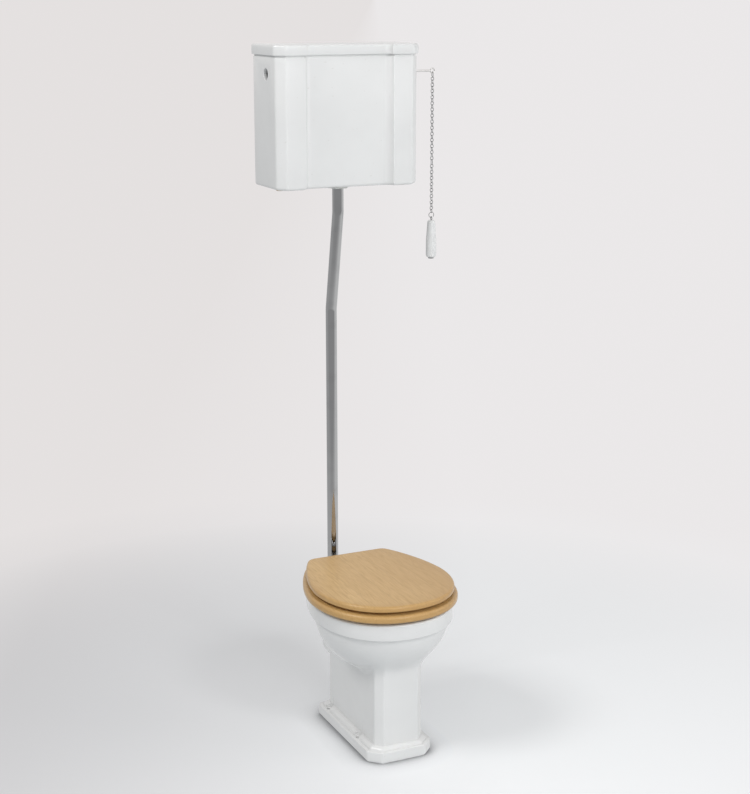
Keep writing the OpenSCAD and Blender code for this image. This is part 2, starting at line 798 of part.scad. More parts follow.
module siphon() {
    in_r = leg_r - siphon_wall;
    crown_r = up_leg_x / 2;
    bore_r = pipe_r + FIT / 2;
    color(PLASTIC)
    translate([0, outlet_y, 0])
    difference() {
        union() {
            translate([0, 0, tank_base_z - tail_proud])
                cylinder(r = tail_r, h = flange_z + 4 - tank_base_z + tail_proud);
            translate([0, 0, flange_z]) cylinder(r = tail_r + 9, h = 5);
            translate([0, 0, flange_z]) cylinder(r = leg_r, h = crown_z - flange_z);
            translate([up_leg_x, 0, bell_top_z - OVER]) cylinder(r = leg_r, h = crown_z - bell_top_z + OVER);
            translate([crown_r, 0, crown_z]) rotate([90, 0, 0])
                rotate_extrude(angle = 180) translate([crown_r, 0]) circle(r = leg_r);
            translate([bell_x, 0, bell_z]) cylinder(r = bell_r, h = bell_h);
            translate([bell_x, 0, bell_z]) cylinder(r = bell_r + 3, h = 5);
            translate([bell_x, 0, bell_top_z - OVER]) cylinder(r = lift_rod_r + 4, h = 15);
            translate([leg_r - siphon_wall, -2, bell_z + 10]) cube([8, 4, bell_h - 20]);
        }
        translate([0, 0, tank_base_z - tail_proud - OVER])
            cylinder(r = bore_r, h = floor_z - tank_base_z + tail_proud + OVER);
        translate([0, 0, floor_z - EPS]) cylinder(r = pipe_r - pipe_wall, h = crown_z - floor_z + EPS);
        translate([up_leg_x, 0, bell_top_z - siphon_wall - OVER])
            cylinder(r = in_r, h = crown_z - bell_top_z + siphon_wall + OVER);
        translate([crown_r, 0, crown_z]) rotate([90, 0, 0])
            rotate_extrude(angle = 180) translate([crown_r, 0]) circle(r = pipe_r - pipe_wall);
        translate([bell_x, 0, bell_z - OVER])
            cylinder(r = bell_r - siphon_wall, h = bell_h - siphon_wall + OVER);
        translate([bell_x, 0, bell_top_z - siphon_wall - OVER]) cylinder(r = lift_rod_r + RUNNING, h = 24);
    }
}

module siphon_washer() {
    color(RUBBER)
    translate([0, outlet_y, floor_z]) tube(tail_r + 9, tail_r + FIT, flange_z - floor_z);
}

// Hexagonal nut across its corners, with a round bore
module hex_nut(corner_r, bore_r, h) {
    difference() {
        cylinder(r = corner_r, h = h, $fn = 6);
        translate([0, 0, -OVER]) cylinder(r = bore_r, h = h + 2 * OVER);
    }
}

module siphon_nut() {
    color(PLASTIC)
    translate([0, outlet_y, tank_base_z - tail_proud + 1.5])
        hex_nut(tail_r + 10, tail_r + RUNNING, tail_proud - 1.5);
}

module plunger_plate() {
    color(BRASS)
    translate([bell_x, outlet_y, plate_z])
    difference() {
        union() {
            cylinder(r = bell_r - siphon_wall - 1.5, h = 2.5);
            cylinder(r = 7, h = 8);
        }
        for (q = [0:60:300]) rotate([0, 0, q])
            translate([bell_r * 0.58, 0, -OVER]) cylinder(r = 7, h = 5);
    }
}

module diaphragm() {
    color(RUBBER)
    translate([bell_x, outlet_y, plate_z + 2.5])
        tube(bell_r - siphon_wall - 0.8, 7 + RUNNING, 1);
}

module lift_rod() {
    color(BRASS)
    translate([bell_x, outlet_y, plate_z + 8])
        cylinder(r = lift_rod_r, h = side_hole_z - loop_h / 2 - 4 - plate_z - 8);
}

module lift_loop() {
    color(BRASS)
    translate([bell_x, outlet_y, side_hole_z])
    difference() {
        translate([-2, -lever_r - 4, -loop_h / 2 - 4]) cube([4, 2 * lever_r + 8, loop_h + 8]);
        translate([-2 - OVER, -lever_r - 1, -loop_h / 2]) cube([4 + 2 * OVER, 2 * lever_r + 2, loop_h]);
    }
}

// ---- Lever ----

module lever_bush() {
    slot_w = 2 * lever_r + 2.4;
    slot_h = 2 * lever_r + 10;
    color(BRASS)
    translate([tank_w / 2, outlet_y, side_hole_z]) rotate([0, 90, 0])
    difference() {
        union() {
            translate([0, 0, -tank_wall - 5]) cylinder(r = side_hole_r - FIT, h = tank_wall + 6);
            cylinder(r = side_hole_r + 3, h = 3);
        }
        translate([-slot_h / 2, -slot_w / 2, -tank_wall - 5 - OVER])
            cube([slot_h, slot_w, tank_wall + 8 + 2 * OVER]);
        translate([0, side_hole_r + 4, pivot_x - tank_w / 2]) rotate([90, 0, 0])
            cylinder(r = 1.5, h = 2 * side_hole_r + 8);
    }
}

module lever_pin() {
    color(CHROME)
    translate([pivot_x, outlet_y - side_hole_r + 1, side_hole_z]) rotate([-90, 0, 0])
        cylinder(r = 1.5, h = 2 * side_hole_r - 2);
}

module lever() {
    inner_x = bell_x - 7;
    color(CHROME)
    difference() {
        union() {
            translate([inner_x, outlet_y, side_hole_z]) rotate([0, 90, 0])
                cylinder(r = lever_r, h = eye_x - eye_r - inner_x);
            translate([pivot_x, outlet_y - lever_r - 0.9, side_hole_z]) rotate([-90, 0, 0])
                cylinder(r = lever_r + 1.5, h = 2 * lever_r + 1.8);
            translate([eye_x, outlet_y, side_hole_z]) rotate([90, 0, 0]) torus(eye_r, eye_wire);
        }
        translate([pivot_x, outlet_y - lever_r - 2, side_hole_z]) rotate([-90, 0, 0])
            cylinder(r = 1.5 + RUNNING, h = 2 * lever_r + 4);
    }
}

// ---- Chain and handle ----

// Oval link of round wire, long side along Z, lying in the XZ plane, or in the YZ plane if turned
module link(len, w, wire, turned) {
    straight = len - w;
    bend = w / 2 + wire;
    rotate([90, 0, turned ? 90 : 0]) {
        for (side = [-1, 1])
            translate([0, side * straight / 2, 0]) rotate([0, 0, side < 0 ? 180 : 0])
                rotate_extrude(angle = 180) translate([bend, 0]) circle(r = wire, $fn = 16);
        for (side = [-1, 1])
            translate([side * bend, straight / 2, 0]) rotate([90, 0, 0])
                cylinder(r = wire, h = straight, $fn = 16);
    }
}

module on_chain(z) {
    translate([eye_x, outlet_y, z]) children();
}

module chain_hanger() {
    color(CHROME) on_chain(hanger_z) link(joining_len, link_w, wire_r, true);
}

// Row of links that hang from height z, turned by a quarter from one to the next
module chain_run(z, count, first_turned) {
    for (i = [0:count - 1])
        on_chain(z - i * (link_len - LINK_GAP))
            link(link_len, link_w, wire_r, (i % 2 == 0) == first_turned);
}

module upper_chain() {
    color(CHROME) chain_run(next_z(hanger_z, joining_len, link_len), upper_links, false);
}

module joining_link() {
    color(CHROME) on_chain(joint_link_z) link(joining_len, link_w, wire_r, true);
}

module lower_chain() {
    color(CHROME) chain_run(lower_first_z, lower_links, false);
}

module pull_ring() {
    color(CHROME) on_chain(pull_ring_z) rotate([90, 0, 0]) torus(pull_ring_r, wire_r);
}

module handle_rod() {
    color(CHROME) {
        on_chain(handle_eye_z) rotate([0, 90, 0]) torus(handle_eye_r, wire_r + 0.25);
        on_chain(handle_top_z - handle_len + 3)
            cylinder(r = handle_rod_r, h = handle_len + handle_eye_z - handle_eye_r - handle_top_z - 3);
    }
}

// Half the outline of the handle: round shoulder, slim neck, full lower part and a rounded foot
module pull_handle() {
    steps = 24;
    side = [for (i = [0:steps]) let (t = i / steps,
        taper = handle_neck_r + (handle_r - handle_neck_r) * (1 - cos(180 * min(1, t / 0.75))) / 2,
        shoulder = min(1, t / 0.08), foot = min(1, (1 - t) / 0.07))
        [taper * (0.45 + 0.55 * sqrt(1 - pow(1 - shoulder, 2))) * (0.6 + 0.4 * sqrt(1 - pow(1 - foot, 2))),
            -t * handle_len]];
    color(CHINA)
    on_chain(handle_top_z) rotate_extrude()
        polygon(concat([[handle_bore_r, 0]], side, [[5.2, -handle_len], [5.2, -handle_len + 6],
            [handle_bore_r, -handle_len + 6]]));
}

module handle_nut() {
    color(CHROME)
    on_chain(handle_top_z - handle_len + 1)
        tube(4.8, handle_rod_r, 5);
}

// ---- Float valve ----

module valve_body() {
    color(BRASS)
    translate([valve_x, valve_y, 0]) {
        difference() {
            union() {
                translate([0, 0, supply_z]) cylinder(r = valve_tail_r, h = supply_len);
                translate([0, 0, supply_z]) cylinder(r = valve_tail_r - 1, h = supply_len + 2);
                translate([0, 0, tank_base_z - valve_nut_h])
                    cylinder(r = valve_tail_r, h = floor_z + 2 - tank_base_z + valve_nut_h);
                translate([0, 0, floor_z + 2]) cylinder(r = valve_tail_r + 5, h = 5);
                translate([0, 0, floor_z + 4]) cylinder(r = 7, h = valve_rise - 8);
            }
            translate([0, 0, supply_z - OVER]) cylinder(r = 4.5, h = floor_z + valve_rise - 20 - supply_z);
        }
        difference() {
            union() {
                translate([-20, 0, valve_head_z]) rotate([0, 90, 0]) cylinder(r = 11, h = 32);
                translate([-fill_reach, 0, valve_head_z - 17]) cylinder(r = fill_r + 1.6, h = 9);
            }
            translate([-fill_reach, 0, valve_head_z - 17 - OVER])
                cylinder(r = fill_r + RUNNING, h = 5 + OVER);
            translate([2, -12, valve_head_z - 12]) cube([12, 24, 8]);
        }
        difference() {
            translate([10, -6, valve_head_z - 4]) cube([14, 12, 9]);
            translate([12 + EPS, -3.4, valve_head_z - 5]) cube([13, 6.8, 11]);
            translate([float_pivot_x - valve_x, 7, valve_head_z]) rotate([90, 0, 0])
                cylinder(r = 1.5, h = 14);
        }
    }
}

module valve_washer() {
    color(RUBBER)
    translate([valve_x, valve_y, floor_z]) tube(valve_tail_r + 5, valve_tail_r + FIT, 2);
}

module valve_nut() {
    color(BRASS)
    translate([valve_x, valve_y, tank_base_z - valve_nut_h])
        hex_nut(valve_tail_r + 6, valve_tail_r + RUNNING, valve_nut_h);
}

// Tube that leads the water down quietly to the tank's floor
module fill_tube() {
    color(PLASTIC)
    translate([valve_x - fill_reach, valve_y, floor_z + 20])
        tube(fill_r, fill_r - 1.2, valve_rise - 20 - 12);
}

module float_pin() {
    color(BRASS)
    translate([float_pivot_x, valve_y + 6.5, valve_head_z]) rotate([90, 0, 0]) cylinder(r = 1.5, h = 13);
}

module float_arm() {
    color(BRASS)
    translate([float_pivot_x, valve_y, valve_head_z]) rotate([0, float_slope, 0])
    difference() {
        union() {
            rotate([90, 0, 0]) translate([0, 0, -3]) cylinder(r = 4, h = 6);
            rotate([0, 90, 0]) cylinder(r = 2, h = float_arm_len - float_r + 3);
            translate([float_arm_len - float_r - 4, 0, 0]) rotate([0, 90, 0]) cylinder(r = 4, h = 4);
        }
        rotate([90, 0, 0]) translate([0, 0, -4]) cylinder(r = 1.5 + RUNNING, h = 8);
    }
}

module float_ball() {
    color(PLASTIC)
    translate([float_pivot_x, valve_y, valve_head_z]) rotate([0, float_slope, 0])
    difference() {
        translate([float_arm_len, 0, 0]) sphere(r = float_r);
        rotate([0, 90, 0]) cylinder(r = 2 + EPS, h = float_arm_len - float_r + 3 + EPS);
        translate([float_arm_len - float_r - 5, 0, 0]) rotate([0, 90, 0]) cylinder(r = 4 + EPS, h = 5 + EPS);
    }
}

// ---- Seat hinge ----

module along_x(y, z) {
    translate([0, y, z]) rotate([0, 90, 0]) children();
}

module hinge_pillars() {
    color(CHROME)
    both_sides(pillar_x)
    difference() {
        union() {
            translate([0, hinge_y, rim_z]) cylinder(r1 = pillar_foot_r, r2 = pillar_foot_r - 2, h = 4);
            translate([0, hinge_y, rim_z]) cylinder(r = knuckle_r, h = hinge_z - rim_z);
            translate([-7, hinge_y, hinge_z]) rotate([0, 90, 0]) cylinder(r = knuckle_r + 1, h = 14);
        }
        translate([-9, hinge_y, hinge_z]) rotate([0, 90, 0]) cylinder(r = bar_r + EPS, h = 18);
        translate([0, hinge_y, rim_z - OVER]) cylinder(r = stud_r, h = 13);
    }
}

module hinge_bar() {
    color(CHROME) along_x(hinge_y, hinge_z) translate([0, 0, -bar_half])
        cylinder(r = bar_r, h = 2 * bar_half);
}

module bar_caps() {
    color(CHROME)
    for (side = [-1, 1])
        translate([side * bar_half, hinge_y, hinge_z]) rotate([0, side * 90, 0])
        difference() {
            union() {
                translate([0, 0, -5]) cylinder(r = knuckle_r - 1, h = 6);
                translate([0, 0, 1]) intersection() {
                    sphere(r = knuckle_r - 1);
                    cylinder(r = knuckle_r, h = knuckle_r);
                }
            }
            translate([0, 0, -6]) cylinder(r = bar_r + EPS, h = 6);
        }
}

// Strap with a knuckle round the bar and a leaf at height z that reaches forward along the wood
module strap(leaf_z, leaf_h) {
    difference() {
        union() {
            translate([-strap_w / 2, hinge_y, hinge_z]) rotate([0, 90, 0])
                cylinder(r = knuckle_r, h = strap_w);
            translate([-strap_w / 2, hinge_y - strap_len, leaf_z]) cube([strap_w, strap_len, leaf_h]);
        }
        translate([-strap_w / 2 - OVER, hinge_y, hinge_z]) rotate([0, 90, 0])
            cylinder(r = bar_r + RUNNING, h = strap_w + 2 * OVER);
        for (y = [14, 26]) translate([0, hinge_y - strap_len + y - 6, leaf_z - OVER])
            cylinder(r = 2, h = leaf_h + 2 * OVER);
    }
}

module ring_straps() {
    color(CHROME) both_sides(ring_strap_x) strap(ring_top_z, strap_t);
}

module lid_straps() {
    color(CHROME) both_sides(lid_strap_x) strap(lid_z - strap_t, strap_t);
}

module fixing_studs() {
    color(BRASS)
    both_sides(pillar_x) translate([0, hinge_y, band_z - 26]) cylinder(r = stud_r, h = rim_band + 26 + 10);
}

module stud_washers() {
    color(RUBBER)
    both_sides(pillar_x) translate([0, hinge_y, band_z - 3]) tube(stud_hole_r + 6, stud_r + RUNNING, 3);
}

module wing_nuts() {
    color(BRASS)
    both_sides(pillar_x) translate([0, hinge_y, band_z - 3 - 10])
    difference() {
        union() {
            cylinder(r1 = 7, r2 = 9, h = 10);
            for (q = [0, 180]) rotate([0, 0, q]) translate([5, -1.5, 0]) hull() {
                cube([1, 3, 8]);
                translate([12, 0, -5]) cube([1, 3, 9]);
            }
        }
        translate([0, 0, -7]) cylinder(r = stud_r + RUNNING, h = 20);
    }
}

// ---- Seat ----

module seat_ring() {
    section = [[8, 0, 0], [2.5, 1.5, 0], [0, 6, 0],
        [0, ring_t - 8, 0], [2.3, ring_t - 2.3, 0], [8, ring_t, 0]];
    inside = [[8, ring_t], [2.3, ring_t - 2.3], [0, ring_t - 8], [0, 6], [2.5, 1.5], [8, 0]];
    outer = [for (e = section)
        level(egg(ring_half_w - e[0], ring_front - e[0], ring_half_w * 1.62 - e[0], ring_back - e[0] / 2),
            ring_z + e[1], rim_mid_y)];
    inner = [for (e = inside)
        level(egg(ring_hole_half_w + e[0], ring_hole_front + e[0], (ring_hole_rear + e[0]) * 1.25,
            ring_hole_rear + e[0]), ring_z + e[1], rim_mid_y)];
    color(OAK) loft_ring(concat(outer, inner));
}

module ring_buffers() {
    color(RUBBER)
    for (side = [-1, 1], y = [-ring_buffer_front, ring_buffer_rear])
        translate([side * ring_buffer_x, rim_mid_y + y, rim_z])
            cylinder(r1 = ring_buffer_r - 1, r2 = ring_buffer_r, h = ring_buffer_h);
}

module seat_lid() {
    edges = [[3, 0], [0.6, 1.5], [0, 4], [0, lid_t - 7], [2, lid_t - 2], [7, lid_t]];
    color(OAK)
    loft([for (e = edges)
        level(egg(lid_half_w - e[0], lid_front - e[0], lid_half_w * 1.73 - e[0], lid_back - e[0] / 2),
            lid_z + e[1], lid_mid_y)]);
}

module lid_buffers() {
    color(RUBBER)
    for (side = [-1, 1], at = [[lid_buffer_span / 2, lid_buffer_inset - lid_front],
        [lid_buffer_rear_x, lid_buffer_rear]])
        translate([side * at[0], lid_mid_y + at[1], ring_top_z])
            cylinder(r1 = lid_buffer_r - 1, r2 = lid_buffer_r, h = lid_buffer_h);
}

pan_foot();
pan_bowl();
pan_rim();
pan_trap();
flush_cone();
lower_flush_pipe();
pipe_sleeve();
upper_flush_pipe();
tank();
tank_lid();
siphon();
siphon_washer();
siphon_nut();
plunger_plate();
diaphragm();
lift_rod();
lift_loop();
lever_bush();
lever_pin();
lever();
chain_hanger();
upper_chain();
joining_link();
lower_chain();
pull_ring();
handle_rod();
pull_handle();
handle_nut();
valve_body();
valve_washer();
valve_nut();
fill_tube();
float_pin();
float_arm();
float_ball();
hinge_pillars();
hinge_bar();
bar_caps();
ring_straps();
lid_straps();
fixing_studs();
stud_washers();
wing_nuts();
seat_ring();
ring_buffers();
seat_lid();
lid_buffers();
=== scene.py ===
"""High tank toilet: china pan and tank, oak seat, chrome flush pipe and pull chain.

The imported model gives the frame. Each class below builds and dresses one
sub-assembly in the same place. Sizes are in millimetres until a mesh is finished.
"""

import json
import logging
import math
from dataclasses import dataclass
from enum import Enum
from typing import Iterable, Optional, Sequence, Union

import bmesh
import bpy
from mathutils import Matrix, Vector

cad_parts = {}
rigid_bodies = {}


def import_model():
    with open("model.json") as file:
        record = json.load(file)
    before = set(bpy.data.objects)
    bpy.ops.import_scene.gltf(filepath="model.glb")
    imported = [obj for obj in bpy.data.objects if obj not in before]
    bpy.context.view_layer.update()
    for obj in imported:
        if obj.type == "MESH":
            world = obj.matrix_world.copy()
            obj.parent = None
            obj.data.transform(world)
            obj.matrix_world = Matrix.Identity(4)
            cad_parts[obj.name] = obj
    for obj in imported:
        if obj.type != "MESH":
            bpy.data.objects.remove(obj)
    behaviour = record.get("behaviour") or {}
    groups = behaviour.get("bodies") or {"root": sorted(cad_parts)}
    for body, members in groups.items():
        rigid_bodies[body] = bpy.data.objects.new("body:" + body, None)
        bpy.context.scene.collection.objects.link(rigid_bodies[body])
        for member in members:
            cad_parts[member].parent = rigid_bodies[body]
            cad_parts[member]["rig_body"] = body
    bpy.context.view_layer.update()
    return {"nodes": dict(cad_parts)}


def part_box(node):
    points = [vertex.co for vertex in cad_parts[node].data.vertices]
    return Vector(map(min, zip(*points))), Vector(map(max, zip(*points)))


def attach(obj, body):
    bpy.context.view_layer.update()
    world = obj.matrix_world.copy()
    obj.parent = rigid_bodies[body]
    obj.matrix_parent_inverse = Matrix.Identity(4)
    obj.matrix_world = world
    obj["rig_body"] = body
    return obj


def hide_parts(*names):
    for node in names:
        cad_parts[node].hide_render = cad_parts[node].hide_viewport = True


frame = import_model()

log = logging.getLogger("toilet")
MM = 0.001
TURN = 2 * math.pi
RIGHT = math.pi / 2
MID_Y = -65.0  # middle of the bowl and the seat
OUTLET_Y = 194.0  # line of the tank's outlet, side holes and chain
Number = Union[int, float]
Colour = tuple[float, float, float]
Point = tuple[float, float, float]
Profile = list[tuple[float, float]]
Outline = list[Vector]


class Slot(Enum):
    """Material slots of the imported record."""

    CHINA = "china"
    OAK = "oak"
    CHROME = "chrome"
    BRASS = "brass"
    RUBBER = "black_rubber"
    PLASTIC = "white_plastic"


class Axis(Enum):
    """Direction that a lathed piece points along."""

    X = (1.0, 0.0, 0.0)
    Y = (0.0, 1.0, 0.0)
    Z = (0.0, 0.0, 1.0)

    def turn(self) -> Matrix:
        """Rotation that takes +Z to this axis."""
        return Vector((0, 0, 1)).rotation_difference(Vector(self.value)).to_matrix().to_4x4()


# ---- Shader sheets ----


class Wire:
    """An output socket that takes part in plain arithmetic."""

    def __init__(self, sheet: "Sheet", socket: Optional[bpy.types.NodeSocket]) -> None:
        """Keeps the sheet that new nodes go on, and the socket that they read."""
        self.sheet = sheet
        self.socket = socket

    def _maths(self, operation: str, a: Union["Wire", Number], b: Union["Wire", Number]) -> "Wire":
        """Value of a new Math node with two inputs."""
        return self.sheet.add("ShaderNodeMath", {"operation": operation}, {0: a, 1: b})

    def __add__(self, other: Union["Wire", Number]) -> "Wire":
        """self + other."""
        return self._maths("ADD", self, other)

    def __sub__(self, other: Union["Wire", Number]) -> "Wire":
        """self - other."""
        return self._maths("SUBTRACT", self, other)

    def __rsub__(self, other: Union["Wire", Number]) -> "Wire":
        """other - self."""
        return self._maths("SUBTRACT", other, self)

    def __mul__(self, other: Union["Wire", Number]) -> "Wire":
        """self * other."""
        return self._maths("MULTIPLY", self, other)

    __radd__ = __add__
    __rmul__ = __mul__

    def floor(self) -> "Wire":
        """The whole number below."""
        return self._maths("FLOOR", self, 0)

    def size(self) -> "Wire":
        """The value without its sign."""
        return self._maths("ABSOLUTE", self, 0)

    def band(self, low: float, high: float) -> "Wire":
        """The value spread so that low gives 0 and high gives 1, held between them."""
        ends = {"Value": self, "From Min": low, "From Max": high}
        return self.sheet.add("ShaderNodeMapRange", {"clamp": True}, ends)

    def beside(self, output: Union[int, str]) -> "Wire":
        """Another output of the node that this one comes from."""
        return Wire(self.sheet, self.socket.node.outputs[output])


class Sheet:
    """The node tree of one material."""

    def __init__(self, name: str) -> None:
        """Makes a material with an empty tree.

        Args:
            name: the material's name.
        """
        self.material = bpy.data.materials.new(name)
        self.material.use_nodes = True
        self.tree = self.material.node_tree
        self.tree.nodes.clear()

    def add(self, kind: str, settings: dict, inputs: dict, output: Union[int, str] = 0) -> Wire:
        """Adds a node.

        Args:
            kind: the node's type.
            settings: its own settings, which are set first.
            inputs: a value or a wire for each socket, by name or number.
            output: the output to return.

        Returns:
            The chosen output.
        """
        node = self.tree.nodes.new(kind)
        for key, value in settings.items():
            setattr(node, key, value)
        for key, value in inputs.items():
            socket = node.inputs[key]
            if isinstance(value, Wire):
                self.tree.links.new(value.socket, socket)
            elif socket.type == "RGBA" and len(value) == 3:
                socket.default_value = (*value, 1.0)
            else:
                socket.default_value = value
        return Wire(self, node.outputs[output] if node.outputs else None)

    def where(self, scale: Point = (1.0, 1.0, 1.0), turn: Point = (0.0, 0.0, 0.0)) -> Wire:
        """Object coordinates.

        Args:
            scale: factor along each axis.
            turn: angle about each axis, in radians.

        Returns:
            The mapped coordinates.
        """
        place = self.add("ShaderNodeTexCoord", {}, {}, "Object")
        inputs = {"Vector": place, "Scale": scale, "Rotation": turn}
        return self.add("ShaderNodeMapping", {}, inputs)

    def noise(self, where: Wire, scale: float, detail: float = 2.0, rough: float = 0.5) -> Wire:
        """Noise about 0.5: spots to the metre, octaves and strength of the finer ones."""
        inputs = {"Vector": where, "Scale": scale, "Detail": detail, "Roughness": rough}
        return self.add("ShaderNodeTexNoise", {}, inputs)

    def blend(
        self, share: Union[Wire, float], a: Union[Wire, Colour], b: Union[Wire, Colour]
    ) -> Wire:
        """Two colours mixed, with a share of b."""
        return self.add("ShaderNodeMix", {"data_type": "RGBA"}, {0: share, 6: a, 7: b}, 2)

    def bump(self, height: Wire, depth: float, strength: float) -> Wire:
        """Normal from a height whose 1 stands for a depth in metres, at a strength."""
        inputs = {"Height": height, "Distance": depth, "Strength": strength}
        return self.add("ShaderNodeBump", {}, inputs)

    def close(self, inputs: dict) -> bpy.types.Material:
        """Ends the tree with a Principled shader.

        Args:
            inputs: a value or a wire for each of its sockets.

        Returns:
            The material.
        """
        shader = self.add("ShaderNodeBsdfPrincipled", {}, inputs)
        self.add("ShaderNodeOutputMaterial", {}, {"Surface": shader})
        return self.material


# ---- Finishes ----


@dataclass(frozen=True)
class Glaze:
    """White vitreous china under a clear glaze.

    Fields are the colour where the glaze lies thick and thin, the colour of its
    specks, its least roughness, and the depth of its waves in metres.
    """

    thick: Colour = (0.800, 0.803, 0.800)
    thin: Colour = (0.768, 0.771, 0.768)
    speck: Colour = (0.50, 0.47, 0.42)
    rough: float = 0.14
    wave: float = 0.0004

    def dress(self) -> bpy.types.Material:
        """Makes the finish.

        Returns:
            The material.
        """
        sheet = Sheet("glazed_china")
        where = sheet.where()
        pool = sheet.noise(where, 7, 3)
        ripple = sheet.noise(where, 26, 2, 0.4)
        pores = sheet.noise(where, 950, 1).band(0.765, 0.80)
        specks = sheet.noise(where, 190, 0).band(0.815, 0.84)
        colour = sheet.blend(pool.band(0.35, 0.68), self.thick, self.thin)
        return sheet.close(
            {
                "Base Color": sheet.blend(specks * 0.2, colour, self.speck),
                "Roughness": self.rough + pool * 0.07 + pores * 0.1,
                "Normal": sheet.bump(ripple - pores * 0.04, self.wave, 0.5),
                "IOR": 1.52,
                "Coat Weight": 0.2,
                "Coat Roughness": 0.08,
            }
        )


@dataclass(frozen=True)
class Oak:
    """Honey-coloured oak boards, glued edge to edge and varnished.

    Fields are the colours of the early wood, the late wood, the painted shade that
    darkens the wood towards the right, the pores, the darker rounded edge and the
    painted shade on the underside of an edge; then the width of a board and the
    depth of its relief in metres, the squash of the grain along each axis, and how
    many growth rings its noise is cut into.
    """

    early: Colour = (0.725, 0.480, 0.198)
    late: Colour = (0.570, 0.345, 0.126)
    deep: Colour = (0.500, 0.295, 0.110)
    pore: Colour = (0.380, 0.215, 0.075)
    edge: Colour = (0.470, 0.270, 0.090)
    under: Colour = (0.100, 0.055, 0.022)
    board: float = 0.0655
    relief: float = 0.00035
    squash: Point = (1.0, 0.07, 0.5)
    rings: float = 15.0

    def dress(self) -> bpy.types.Material:
        """Makes the finish.

        Returns:
            The material.
        """
        sheet = Sheet("varnished_oak")
        place = sheet.add("ShaderNodeTexCoord", {}, {}, "Object")
        across = sheet.add("ShaderNodeSeparateXYZ", {}, {"Vector": place}, 0)

        # Each board takes its own place in the grain.
        cell = across * (1 / self.board) + 20.5
        number = cell.floor()
        chance = sheet.add("ShaderNodeTexWhiteNoise", {"noise_dimensions": "1D"}, {"W": number})
        parts = {"X": chance * 3.1, "Y": chance * 7.3, "Z": chance * 0.4}
        shift = sheet.add("ShaderNodeCombineXYZ", {}, parts)
        board = sheet.add("ShaderNodeVectorMath", {"operation": "ADD"}, {0: place, 1: shift})
        grain = sheet.add("ShaderNodeMapping", {}, {"Vector": board, "Scale": self.squash})
        joint = (cell - number - 0.5).size().band(0.489, 0.4965)

        # Growth rings, streaks and open pores.
        growth = sheet.noise(grain, 34, 3, 0.55)
        streak = sheet.noise(grain, 210, 3, 0.6)
        hair = sheet.noise(grain, 900, 2, 0.7)
        ring_at = growth * self.rings + across * 26.0 + chance * 5
        ring = (ring_at - ring_at.floor() - 0.5).size() * 2
        dark = ring.band(0.35, 1.0) * 0.55 + streak.band(0.38, 0.72) * 0.6
        pores = hair.band(0.60, 0.70) * ring.band(0.2, 0.9)

        # The edge attribute is 1 on a darker rounded edge and 2 under it, where shade is painted.
        rim = sheet.add("ShaderNodeAttribute", {"attribute_name": "edge"}, {}, "Fac")
        tone = sheet.noise(sheet.where(), 9, 2).band(0.3, 0.7)
        cloud = sheet.noise(sheet.where(), 5, 1) * 0.12
        wood = sheet.blend(dark, self.early, self.late)
        wood = sheet.blend(tone * 0.22 + chance * 0.20, wood, self.late)
        # Painted shade: the wood is darkened towards the right of the seat.
        wood = sheet.blend((across + cloud).band(-0.05, 0.28) * 0.62, wood, self.deep)
        wood = sheet.blend(pores * 0.45, wood, self.pore)
        wood = sheet.blend(joint * 0.5, wood, self.pore)
        wood = sheet.blend(rim.band(0, 1) * 0.55, wood, self.edge)
        # Painted shade under each rounded edge, where the gap below it lies in shadow.
        wood = sheet.blend(rim.band(1, 2) * 0.7, wood, self.under)
        height = 1 - pores * 0.5 - joint * 0.5 - streak * 0.25
        return sheet.close(
            {
                "Base Color": wood,
                "Roughness": 0.34 + streak * 0.14 - rim.band(0, 1) * 0.06,
                "Normal": sheet.bump(height, self.relief, 0.5),
                "IOR": 1.48,
                "Coat Weight": 0.25,
                "Coat Roughness": 0.2,
            }
        )


@dataclass(frozen=True)
class Plating:
    """Bright metal with smudges and fine rubbing marks.

    Fields are the clean and the dulled colour, the roughness, and how far the dulling
    spreads.
    """

    name: str
    clean: Colour
    dull: Colour
    rough: float
    spread: float

    def dress(self) -> bpy.types.Material:
        """Makes the finish.

        Returns:
            The material.
        """
        sheet = Sheet(self.name)
        cloud = sheet.noise(sheet.where(), 22, 2, 0.5)
        rub = sheet.noise(sheet.where((1.0, 1.0, 0.12)), 700, 1, 0.5)
        stain = cloud.band(0.56 - self.spread, 0.95)
        return sheet.close(
            {
                "Base Color": sheet.blend(stain, self.clean, self.dull),
                "Metallic": 1.0,
                "Roughness": self.rough + stain * 0.10 + rub * 0.04,
                "Normal": sheet.bump(rub, 0.00001, 0.25),
            }
        )


@dataclass(frozen=True)
class Moulding:
    """Rubber or plastic from a mould.

    Fields are its two close colours, its roughness and the depth of its skin's grain
    in metres.
    """

    name: str
    colour: Colour
    worn: Colour
    rough: float
    grain: float

    def dress(self) -> bpy.types.Material:
        """Makes the finish.

        Returns:
            The material.
        """
        sheet = Sheet(self.name)
        where = sheet.where()
        cloud = sheet.noise(where, 60, 3)
        skin = sheet.noise(where, 1600, 2)
        return sheet.close(
            {
                "Base Color": sheet.blend(cloud.band(0.3, 0.75), self.colour, self.worn),
                "Roughness": self.rough + cloud * 0.12,
                "Normal": sheet.bump(skin, self.grain, 0.6),
            }
        )


